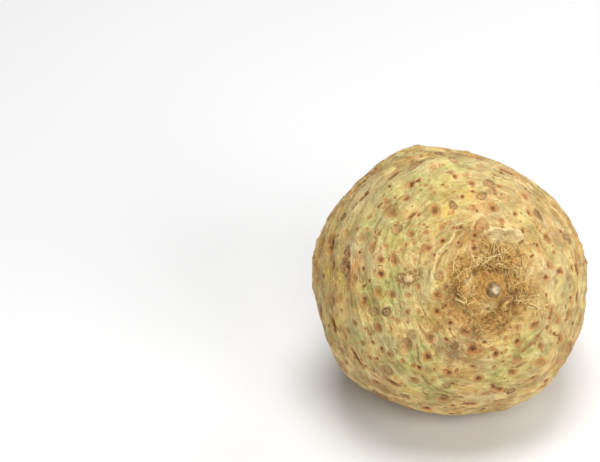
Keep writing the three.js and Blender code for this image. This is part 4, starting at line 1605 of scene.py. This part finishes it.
@dataclass(frozen=True)
class CutFinish(Finish):
    """Cut and dried plant flesh: a pale body, darker towards its edges and in its grit."""

    flesh: Colour = WHITE
    edge: Colour = WHITE
    stain: Colour = WHITE

    def dress(self, coat: Coat) -> Socket:
        """Paint the flesh, darker towards its rim.

        Args:
            coat: The flesh's coat.

        Returns:
            Its grit, as its fine relief.
        """
        coat.colour = self.flesh
        coat.cover(coat.attribute("rim"), self.edge)
        grit = coat.grit(420.0, 0.48, 0.66)
        coat.cover(coat.times(grit, 0.6), self.stain)
        return grit


# ---------------------------------------------------------------- the pieces


@dataclass
class Piece(ABC):
    """One piece of the dressed root: the form that it follows, its finish and its name."""

    form: RootForm
    finish: Finish
    name: str

    @abstractmethod
    def model(self, table: Table) -> bpy.types.Object:
        """Model the piece where the root lies."""

    def build(self, table: Table, effects: SharedEffects) -> bpy.types.Object:
        """Model the piece, dress it and let it ride with the root.

        Args:
            table: Where the root lies.
            effects: The shared node groups.

        Returns:
            The piece.
        """
        piece = self.model(table)
        piece.name = self.name
        piece.data.name = self.name
        piece.data.materials.clear()
        piece.data.materials.append(self.finish.material(effects))
        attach(piece, "root")
        log.info("%s: %d triangles", self.name, sum(len(face.vertices) - 2 for face in piece.data.polygons))
        return piece


@dataclass
class RootSkin(Piece):
    """The root's skin, which stands for the solid: a ball of even squares, moved out to the grown form."""

    name: str = "root_skin"
    squares: int = 128
    roll_pitch: float = 3.3
    roll_height: float = 0.26
    roll_wander: float = 2.5
    roll_fade: Span = (35.0, 70.0)
    roll_faded: float = 0.6
    dish_ring_pitch: float = 2.7
    dish_ring_height: float = 0.2
    dish_ring_wander: float = 1.6
    dish_ring_start: Span = (3.5, 7.0)
    knob_size: float = 6.5
    knob_height: float = 0.5
    knobbier_tuft: float = 1.5
    grit_size: float = 1.9
    grit_height: float = 0.2
    grittier_tuft: float = 2.2
    crest_height: float = 0.8
    crest_width: float = 1.1
    crease_depth: float = 0.5
    crease_width: float = 0.9
    mat_depth: float = 0.5

    def build(self, table: Table, effects: SharedEffects) -> bpy.types.Object:
        """Build the skin, in the place of the solid."""
        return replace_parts(super().build(table, effects), NODE)

    def _squared(self) -> bpy.types.Object:
        """Model a cube that is cut into squares.

        Returns:
            The cube, from -1 to 1.
        """
        deselect_all()
        bpy.ops.mesh.primitive_cube_add(size=2)
        piece = open_new()
        bpy.ops.mesh.subdivide(number_cuts=self.squares - 1)
        bpy.ops.object.mode_set(mode="OBJECT")
        bpy.ops.object.shade_smooth()
        return piece

    def _fine_relief(self, directions: Array, fields: SkinFields) -> Array:
        """Give the relief that is too fine for the solid: growth ridges, rings in the dish, knobs and grit.

        Args:
            directions: Unit directions, one to a row.
            fields: What is known there.

        Returns:
            How far out the skin goes, in mm.
        """
        places = directions * self.form.girth_radius
        knobs = soft_noise(places / self.knob_size)
        grit = soft_noise(places / self.grit_size)
        ridge = np.sin(FULL_TURN * fields.growth / self.roll_pitch + self.roll_wander * knobs)
        in_dish = fields.tip_distance + self.dish_ring_wander * knobs
        rings = np.sin(FULL_TURN * in_dish / self.dish_ring_pitch)
        outer = (1 - fields.tuft) * (1 - self.roll_faded * smooth(*self.roll_fade, fields.tip_distance))
        relief = self.roll_height * ridge * np.clip(0.9 + 1.8 * knobs, 0, 1.8) * outer
        ringed = fields.tuft * smooth(*self.dish_ring_start, fields.tip_distance)
        relief += self.dish_ring_height * rings * ringed
        relief += self.knob_height * knobs * (1 + self.knobbier_tuft * fields.tuft)
        relief += self.grit_height * grit * (1 + self.grittier_tuft * fields.tuft)
        relief += self.crest_height * bell(fields.crest, self.crest_width)
        relief -= self.crease_depth * bell(fields.crease, self.crease_width)
        relief -= self.mat_depth * fields.mat
        return relief * (1 - fields.cut)

    def model(self, table: Table) -> bpy.types.Object:
        """Model the skin, line the root up with the solid, and paint the skin's points.

        Args:
            table: Where the root lies.

        Returns:
            The skin.
        """
        form = self.form
        piece = self._squared()
        # The tangent spreads the squares evenly over the ball.
        directions = unit(np.tan(vertices_of(piece) * math.pi / 4))
        fields = form.fields(directions)
        radius = form.skin_radius(directions) + self._fine_relief(directions, fields)
        points = table.points(directions * radius[:, None])
        set_vertices(piece, table.centre_on(points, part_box(NODE)))
        sideways = form.girth_radius * directions @ np.column_stack((form.right, form.up))
        painted = dict(vars(fields), grain=np.column_stack((fields.growth, sideways)))
        del painted["growth"]
        for name, rows in painted.items():
            paint_points(piece.data, name, rows)
        return piece


@dataclass
class TapRootStub(Piece):
    """The cut stub of the tap root, on its mound in the dish."""

    name: str = "tap_root_stub"
    foot_radius: float = 3.1
    head_radius: float = 2.0
    sunk: float = 2.0
    sides: int = 28
    noise_size: float = 1.6
    uneven_width: float = 0.22
    uneven_height: float = 0.45
    rim: Span = (0.4, 1.15)
    # From the mound up: how far each ring is drawn up from the one below, in mm, and how much narrower it is.
    rings: Line = ((0.5, 0.86), (0.9, 0.92), (0.7, 0.94), (0.4, 0.85), (0.2, 0.6), (-0.15, 0.5))
    narrowing_to_mound: float = 0.97

    def _turned(self) -> bpy.types.Object:
        """Model the stub upright, its foot sunk below the origin, from a disc that is drawn up and in.

        Returns:
            The stub, in mm.
        """
        deselect_all()
        bpy.ops.mesh.primitive_circle_add(vertices=self.sides, radius=self.foot_radius, fill_type="NGON")
        bpy.context.active_object.data.transform(Matrix.Translation((0, 0, -self.sunk)))
        piece = open_new()
        for lift, narrowing in ((self.sunk, self.narrowing_to_mound), *self.rings):
            bpy.ops.mesh.extrude_region_move(TRANSFORM_OT_translate={"value": (0, 0, lift)})
            bpy.ops.transform.resize(value=(narrowing, narrowing, 1))
        close_drawn_up()
        apply_modifier(piece, "SUBSURF", levels=2, render_levels=2)
        bpy.ops.object.shade_smooth()
        return piece

    def model(self, table: Table) -> bpy.types.Object:
        """Model the stub and set it on the mound.

        Args:
            table: Where the root lies.

        Returns:
            The stub.
        """
        form = self.form
        piece = self._turned()
        rows = vertices_of(piece)
        # The head is paler in its middle and darker towards its rim: cut flesh against the side, and partly a
        # painted highlight.
        rim = smooth(*self.rim, np.hypot(rows[:, 0], rows[:, 1]) / self.head_radius)
        shape = soft_noise(rows / self.noise_size)
        rows[:, :2] *= (1 + self.uneven_width * shape)[:, None]
        rows[:, 2] += self.uneven_height * shape + form.skin_radius(form.tip[None])
        set_vertices(piece, table.points(rows @ np.array((form.right, form.up, form.tip))))
        paint_points(piece.data, "rim", rim)
        return piece


@dataclass
class StalkBases(Piece):
    """The stumps of the leaf stalks: crescents in a spiral on the crown's cut, each open towards the bud."""

    name: str = "stalk_bases"
    count: int = 13
    nearest: float = 3.4
    step: float = 1.12
    half_angles: Span = (78.0, 40.0)
    thickness: float = 2.5
    tallest: float = 4.2
    shortest_share: float = 0.55
    turn_scatter: float = 0.3
    ragged_height: float = 0.45
    rounding: float = 0.35
    sunk: float = 3.0
    seed: int = 67

    def _blank(self) -> bpy.types.Object:
        """Model one straight stump.

        Returns:
            The stump: X runs along the crescent, Y across it and Z up, each from -1 to 1.
        """
        deselect_all()
        bpy.ops.mesh.primitive_cube_add(size=2)
        piece = open_new()
        bpy.ops.mesh.subdivide(number_cuts=9)
        bpy.ops.object.mode_set(mode="OBJECT")
        apply_modifier(piece, "BEVEL", width=0.12, segments=2)
        bpy.ops.object.shade_smooth()
        return piece

    def _crescent(self, blank: Array, order: int, draw: Draw) -> Array:
        """Bend the blank into one crescent.

        Args:
            blank: The straight stump's points.
            order: Which crescent of the spiral it is, from the bud outwards.
            draw: What its height and its turn are drawn from.

        Returns:
            Its points in mm, on the crown's cut.
        """
        along, across, up = blank.T
        height = self.tallest * draw.between(self.shortest_share, 1)
        turn = math.radians(order * GOLDEN_ANGLE) + self.turn_scatter * draw.number()
        angle = turn + along * math.radians(mix(*self.half_angles, order / self.count))
        narrowed = np.sqrt(np.clip(1 - 0.75 * along**4, 0.1, 1))
        radius = self.nearest + order * self.step
        distance = radius + 0.5 * self.thickness * across * narrowed * (1 - 0.1 * up)
        ragged = soft_noise(np.column_stack((along * 3, np.full_like(along, order), across * 2)))
        worn = np.where(up > 0.5, self.ragged_height * ragged - self.rounding * across**2, 0)
        level = self.form.crown_cut + mix(-self.sunk, height, (up + 1) / 2) + worn
        return np.column_stack((distance * np.cos(angle), distance * np.sin(angle), level))

    def model(self, table: Table) -> bpy.types.Object:
        """Model the stumps and set them on the crown.

        Args:
            table: Where the root lies.

        Returns:
            The stumps, joined.
        """
        blank = self._blank()
        shape = vertices_of(blank)
        draw = Draw(self.seed)
        standing = np.array(Vector((0, 0, 1)).rotation_difference(Vector(self.form.crown)).to_matrix())
        sides = np.maximum(smooth(0.5, 1.0, np.abs(shape[:, 1])), smooth(0.75, 1.0, np.abs(shape[:, 0])))
        rim = np.where(shape[:, 2] > 0.8, mix(0.25, 1.0, sides), 0.9)
        copies = []
        for order in range(self.count):
            copy = blank.copy()
            copy.data = blank.data.copy()
            bpy.context.collection.objects.link(copy)
            set_vertices(copy, table.points(self._crescent(shape, order, draw) @ standing.T))
            paint_points(copy.data, "rim", rim)
            copies.append(copy)
        bpy.data.objects.remove(blank)
        deselect_all()
        for copy in copies:
            copy.select_set(True)
        bpy.context.view_layer.objects.active = copies[0]
        bpy.ops.object.join()
        return copies[0]


@dataclass(frozen=True)
class Strand:
    """One fibre's way over the skin: where it is rooted, its heading in radians, and its sizes in mm."""

    root: Array
    heading: float
    length: float
    curl: float
    lift: float
    radius: float
    tone: float


@dataclass(frozen=True)
class Clump:
    """A clump of fibres: mm right of and above the middle, its radius, and how many there are.

    Their lengths and lifts are drawn between two sizes in mm, and their headings between two in degrees. The
    sizes given here are those of the thick rootlets.
    """

    right: float
    up: float
    radius: float
    count: int
    lengths: Span = (5.0, 11.0)
    lifts: Span = (0.8, 1.9)
    tones: Span = (0.0, 1.0)
    headings: Span = (0.0, 360.0)

    def way(self, form: RootForm, draw: Draw, curl: float) -> tuple[Array, float, float, float, float]:
        """Draw one fibre's way.

        Args:
            form: The root's form.
            draw: What it is drawn from.
            curl: How much it curls at most.

        Returns:
            Its root, heading, length, curl and lift.
        """
        away = self.radius * math.sqrt(draw.number())
        turn = FULL_TURN * draw.number()
        root = form.on_front(self.right + away * math.cos(turn), self.up + away * math.sin(turn))
        heading = math.radians(draw.between(*self.headings))
        length = draw.between(*self.lengths)
        return root, heading, length, draw.between(-curl, curl), draw.between(*self.lifts)


@dataclass
class Fibres(Piece):
    """Many fibres from one blank: a thin round stem that is drawn up ring by ring.

    They root so far sunk, in mm. Standing goes from 0, where they lie along the skin, to 1, where they rise
    evenly from it, and they lose a taper's share of their thickness.
    """

    rings: int
    sides: int
    sunk: float
    standing: float
    taper: float
    seed: int

    @abstractmethod
    def strands(self) -> list[Strand]:
        """Draw the ways of the fibres."""

    def _blank(self) -> tuple[Array, list[tuple[int, ...]]]:
        """Model the blank, of radius 1 and length 1.

        Returns:
            Its points and its faces.
        """
        deselect_all()
        bpy.ops.mesh.primitive_circle_add(vertices=self.sides, radius=1, fill_type="NGON")
        piece = open_new()
        for _ in range(self.rings):
            bpy.ops.mesh.extrude_region_move(TRANSFORM_OT_translate={"value": (0, 0, 1 / self.rings)})
        close_drawn_up()
        points = vertices_of(piece)
        faces = [tuple(face.vertices) for face in piece.data.polygons]
        bpy.data.objects.remove(piece)
        return points, faces

    def _ways(self, strands: list[Strand]) -> Array:
        """Find the middle lines of the fibres.

        Args:
            strands: The fibres.

        Returns:
            The places of their rings in mm: one row of places for each fibre.
        """
        form = self.form
        shares = np.linspace(0, 1, self.rings + 1)
        heading, length, curl, lift = np.array([(s.heading, s.length, s.curl, s.lift) for s in strands]).T
        forwards = np.cos(heading)[:, None] * form.right + np.sin(heading)[:, None] * form.up
        sideways = np.cross(form.tip, forwards)
        reach = length[:, None] * shares / form.girth_radius
        bent = reach * curl[:, None] * shares
        roots = np.array([strand.root for strand in strands])
        places = roots[:, None] + forwards[:, None] * reach[..., None] + sideways[:, None] * bent[..., None]
        places = unit(places).reshape(-1, 3)
        lying = 0.7 + 0.3 * np.sin(math.pi * shares)
        raised = lift[:, None] * mix(lying, shares, self.standing)
        height = (raised + self.sunk) * smooth(0.0, 0.2, shares) - self.sunk
        radius = form.skin_radius(places) + height.ravel()
        return (places * radius[:, None]).reshape(len(strands), -1, 3)

    def model(self, table: Table) -> bpy.types.Object:
        """Bend a copy of the blank's mesh along each fibre's way.

        Args:
            table: Where the root lies.

        Returns:
            All the fibres as one mesh object.
        """
        strands = self.strands()
        points, faces = self._blank()
        level = np.rint(points[:, 2] * self.rings).astype(int)
        corners, polygons, tones = [], [], []
        for order, (strand, line) in enumerate(zip(strands, self._ways(strands))):
            ahead = unit(np.gradient(line, axis=0))
            side = unit(np.cross(ahead, unit(line)))
            over = np.cross(side, ahead)
            thick = strand.radius * (1 - self.taper * points[:, 2:] ** 1.5)
            offset = points[:, :1] * side[level] + points[:, 1:2] * over[level]
            corners.append(line[level] + offset * thick)
            first = order * len(points)
            polygons += [tuple(first + corner for corner in face) for face in faces]
            tones.append(np.full(len(points), strand.tone))
        mesh = bpy.data.meshes.new("fibres")
        mesh.from_pydata(table.points(np.concatenate(corners)).tolist(), [], polygons)
        mesh.validate()
        mesh.shade_smooth()
        paint_points(mesh, "tone", np.concatenate(tones))
        piece = bpy.data.objects.new("fibres", mesh)
        bpy.context.collection.objects.link(piece)
        return piece


CLUMPS = (
    Clump(11.7, 8.1, 4.5, 9), Clump(20.7, 10.7, 5, 9), Clump(26.4, 9.4, 4, 6), Clump(33, 1, 5, 8),
    Clump(35, -8, 5, 6), Clump(7, -9.4, 2.5, 2), Clump(3.4, 6, 4, 2),
)

TANGLES = (
    Clump(12.3, 7, 2.2, 30, (2.2, 3.8), (0.5, 1.8), (0.6, 1), (50, 100)),
    Clump(18, 7.8, 3.8, 46, (3, 6.5), (0.4, 1.9), (0.1, 1), (105, 160)),
    Clump(20, 9, 3.6, 22, (3, 6), (0.5, 2), (0.1, 1), (-60, 50)),
    Clump(22.4, 10.8, 3, 24, (3, 5.5), (0.5, 2), (0.1, 1), (75, 125)),
    Clump(26.6, 8, 3.6, 40, (2, 4.5), (0.3, 1.6), (0.2, 0.9)),
    Clump(34, 2.2, 4.4, 70, (2, 4.5), (0.4, 1.7), (0.4, 1), (50, 130)),
    Clump(31.4, -9.2, 1.8, 18, (3, 5), (0.4, 1.8), (0.5, 1), (10, 100)),
    Clump(34, -6, 3, 20, (2, 4.5), (0.3, 1.6), (0, 0.7)),
    Clump(36.8, -11, 3, 30, (2.8, 4.6), (0.3, 1.4), (0.3, 1), (-60, -5)),
    Clump(7.5, -10.6, 0.9, 9, (3, 5), (0.5, 1.5), (0.7, 1), (60, 130)),
    Clump(3.8, 5.6, 3.6, 30, (1.5, 3.5), (0.2, 1), (0.3, 0.9)),
    Clump(4.5, 0, 3.6, 18, (1.2, 2.8), (0.2, 0.8), (0.2, 0.8)),
    Clump(23, -16.5, 4.6, 18, (1.4, 3), (0.2, 0.8), (0.2, 0.7)),
    Clump(13, -18, 4.6, 12, (1.4, 2.8), (0.2, 0.8), (0.2, 0.7)),
    Clump(28, -2, 2.6, 26, (1.5, 3.5), (0.2, 1.2), (0.3, 0.9)),
    Clump(19, -2, 17, 50, (1.2, 2.6), (0.1, 0.6), (0.1, 0.8)),
)


@dataclass
class Rootlets(Fibres):
    """The thick rootlets of the tuft, each where the solid has it."""

    name: str = "rootlets"
    rings: int = 12
    sides: int = 6
    sunk: float = 2.2
    standing: float = 0.0
    taper: float = 0.65
    seed: int = 53
    radius: float = 0.17
    curl: float = 1.0

    def strands(self) -> list[Strand]:
        """Draw the ways of the rootlets, and their tones from another stream.

        Returns:
            The rootlets' strands.
        """
        draw, tones = Draw(self.seed), Draw(self.seed + 1)
        return [
            Strand(*clump.way(self.form, draw, self.curl), self.radius, tones.number())
            for clump in CLUMPS
            for _ in range(clump.count)
        ]


@dataclass
class RootHairs(Fibres):
    """The fine dry hairs of the tuft, tangled round the stub."""

    name: str = "root_hairs"
    rings: int = 7
    sides: int = 4
    sunk: float = 1.0
    standing: float = 0.6
    taper: float = 0.5
    seed: int = 71
    radii: Span = (0.09, 0.2)
    curl: float = 0.9
    clear: float = 8.0

    def strands(self) -> list[Strand]:
        """Draw the ways of the hairs, none of which starts close to the stub.

        Returns:
            The hairs' strands.
        """
        draw = Draw(self.seed)
        drawn = []
        for tangle in TANGLES:
            for _ in range(tangle.count):
                way = tangle.way(self.form, draw, self.curl)
                drawn.append(Strand(*way, draw.between(*self.radii), draw.between(*tangle.tones)))
        return [strand for strand in drawn if self.form.tip_distance(strand.root) > self.clear]


# ---------------------------------------------------------------- the studio


@dataclass
class Studio:
    """A plain pale floor, soft light and the camera. Places and sizes are in metres, and powers in watts."""

    form: RootForm
    distance: float = 1.05
    elevation: float = 38.0
    millimetres_per_pixel: float = 0.426
    image_size: tuple[int, int] = (600, 462)
    root_pixel: Span = (448.5, 281.0)
    sensor: float = 36.0
    floor_size: float = 12.0
    floor_colour: Colour = paint(238, 238, 238)
    floor_roughness: float = 0.9
    world_strength: float = 0.05
    lamp_size: float = 0.8
    lamps: tuple[tuple[str, tuple[float, float, float], float], ...] = (
        ("top_light", (0.0, 0.0, 1.6), 19.0),
        ("front_light", (0.0, -1.2, 1.1), 8.4),
        ("side_light", (1.05, -0.9, 0.8), 10.5),
        ("back_light", (0.9, 0.9, 1.0), 6.0),
    )

    def build(self, table: Table) -> None:
        """Set up the floor, the light and the camera round the root.

        Args:
            table: Where the root lies.
        """
        centre = Vector(table.offset) + Vector((0, 0, self.form.centre_height * MM))
        self._floor()
        self._world()
        for name, place, power in self.lamps:
            self._light(name, Vector(place), power, centre)
        self._camera(centre)
        bpy.context.scene.view_settings.view_transform = "Standard"

    def _floor(self) -> None:
        """Lay the floor."""
        deselect_all()
        bpy.ops.mesh.primitive_plane_add(size=self.floor_size)
        floor = bpy.context.active_object
        floor.name = "floor"
        coat = Coat("pale_floor")
        coat.colour = self.floor_colour
        floor.data.materials.append(coat.close(self.floor_roughness))

    def _world(self) -> None:
        """Light the whole room softly."""
        world = bpy.data.worlds.new("studio")
        world.use_nodes = True
        background = world.node_tree.nodes["Background"]
        background.inputs["Color"].default_value = WHITE
        background.inputs["Strength"].default_value = self.world_strength
        bpy.context.scene.world = world

    def _light(self, name: str, place: Vector, power: float, goal: Vector) -> None:
        """Hang a soft square light.

        Args:
            name: Its name.
            place: Where it hangs.
            power: Its power.
            goal: What it looks at.
        """
        lamp = bpy.data.lights.new(name, "AREA")
        lamp.size = self.lamp_size
        lamp.energy = power
        light = bpy.data.objects.new(name, lamp)
        light.location = place
        light.rotation_euler = (goal - place).to_track_quat("-Z", "Y").to_euler()
        bpy.context.collection.objects.link(light)

    def _camera(self, centre: Vector) -> None:
        """Stand the camera so that the root's middle falls on its pixel.

        Args:
            centre: The root's middle.
        """
        width, height = self.image_size
        focal = self.distance / (self.millimetres_per_pixel * MM)
        rise = math.radians(self.elevation)
        away = Vector((0, -math.cos(rise), math.sin(rise)))
        data = bpy.data.cameras.new("camera")
        data.sensor_width = self.sensor
        data.lens = self.sensor * focal / width
        camera = bpy.data.objects.new("camera", data)
        bpy.context.collection.objects.link(camera)
        to_right = math.atan((self.root_pixel[0] - width / 2) / focal)
        down = math.atan((self.root_pixel[1] - height / 2) / focal)
        aimed = (-away).to_track_quat("-Z", "Y").to_matrix()
        turned = aimed @ Matrix.Rotation(to_right, 3, "Y") @ Matrix.Rotation(down, 3, "X")
        camera.matrix_world = Matrix.Translation(centre + away * self.distance) @ turned.to_4x4()
        bpy.context.scene.camera = camera


def main() -> None:
    """Build the dressed root piece by piece, then the studio."""
    logging.basicConfig(level=logging.INFO, format="%(name)s: %(message)s")
    form = RootForm()
    log.info("%d scars", len(form.scars))
    effects = SharedEffects()
    table = Table(form)
    stub_cut = CutFinish(
        "tap_root_cut", flesh=paint(204, 184, 146), edge=paint(132, 106, 68), stain=paint(146, 130, 90)
    )
    stalk_cut = CutFinish(
        "stalk_cut", flesh=paint(206, 190, 128), edge=paint(150, 112, 60), stain=paint(176, 138, 82)
    )
    RootSkin(form, SkinFinish()).build(table, effects)
    TapRootStub(form, stub_cut).build(table, effects)
    StalkBases(form, stalk_cut).build(table, effects)
    Rootlets(form, FibreFinish("rootlet_bark")).build(table, effects)
    RootHairs(form, FibreFinish("root_hair")).build(table, effects)
    Studio(form).build(table)


if __name__ == "__main__":
    main()
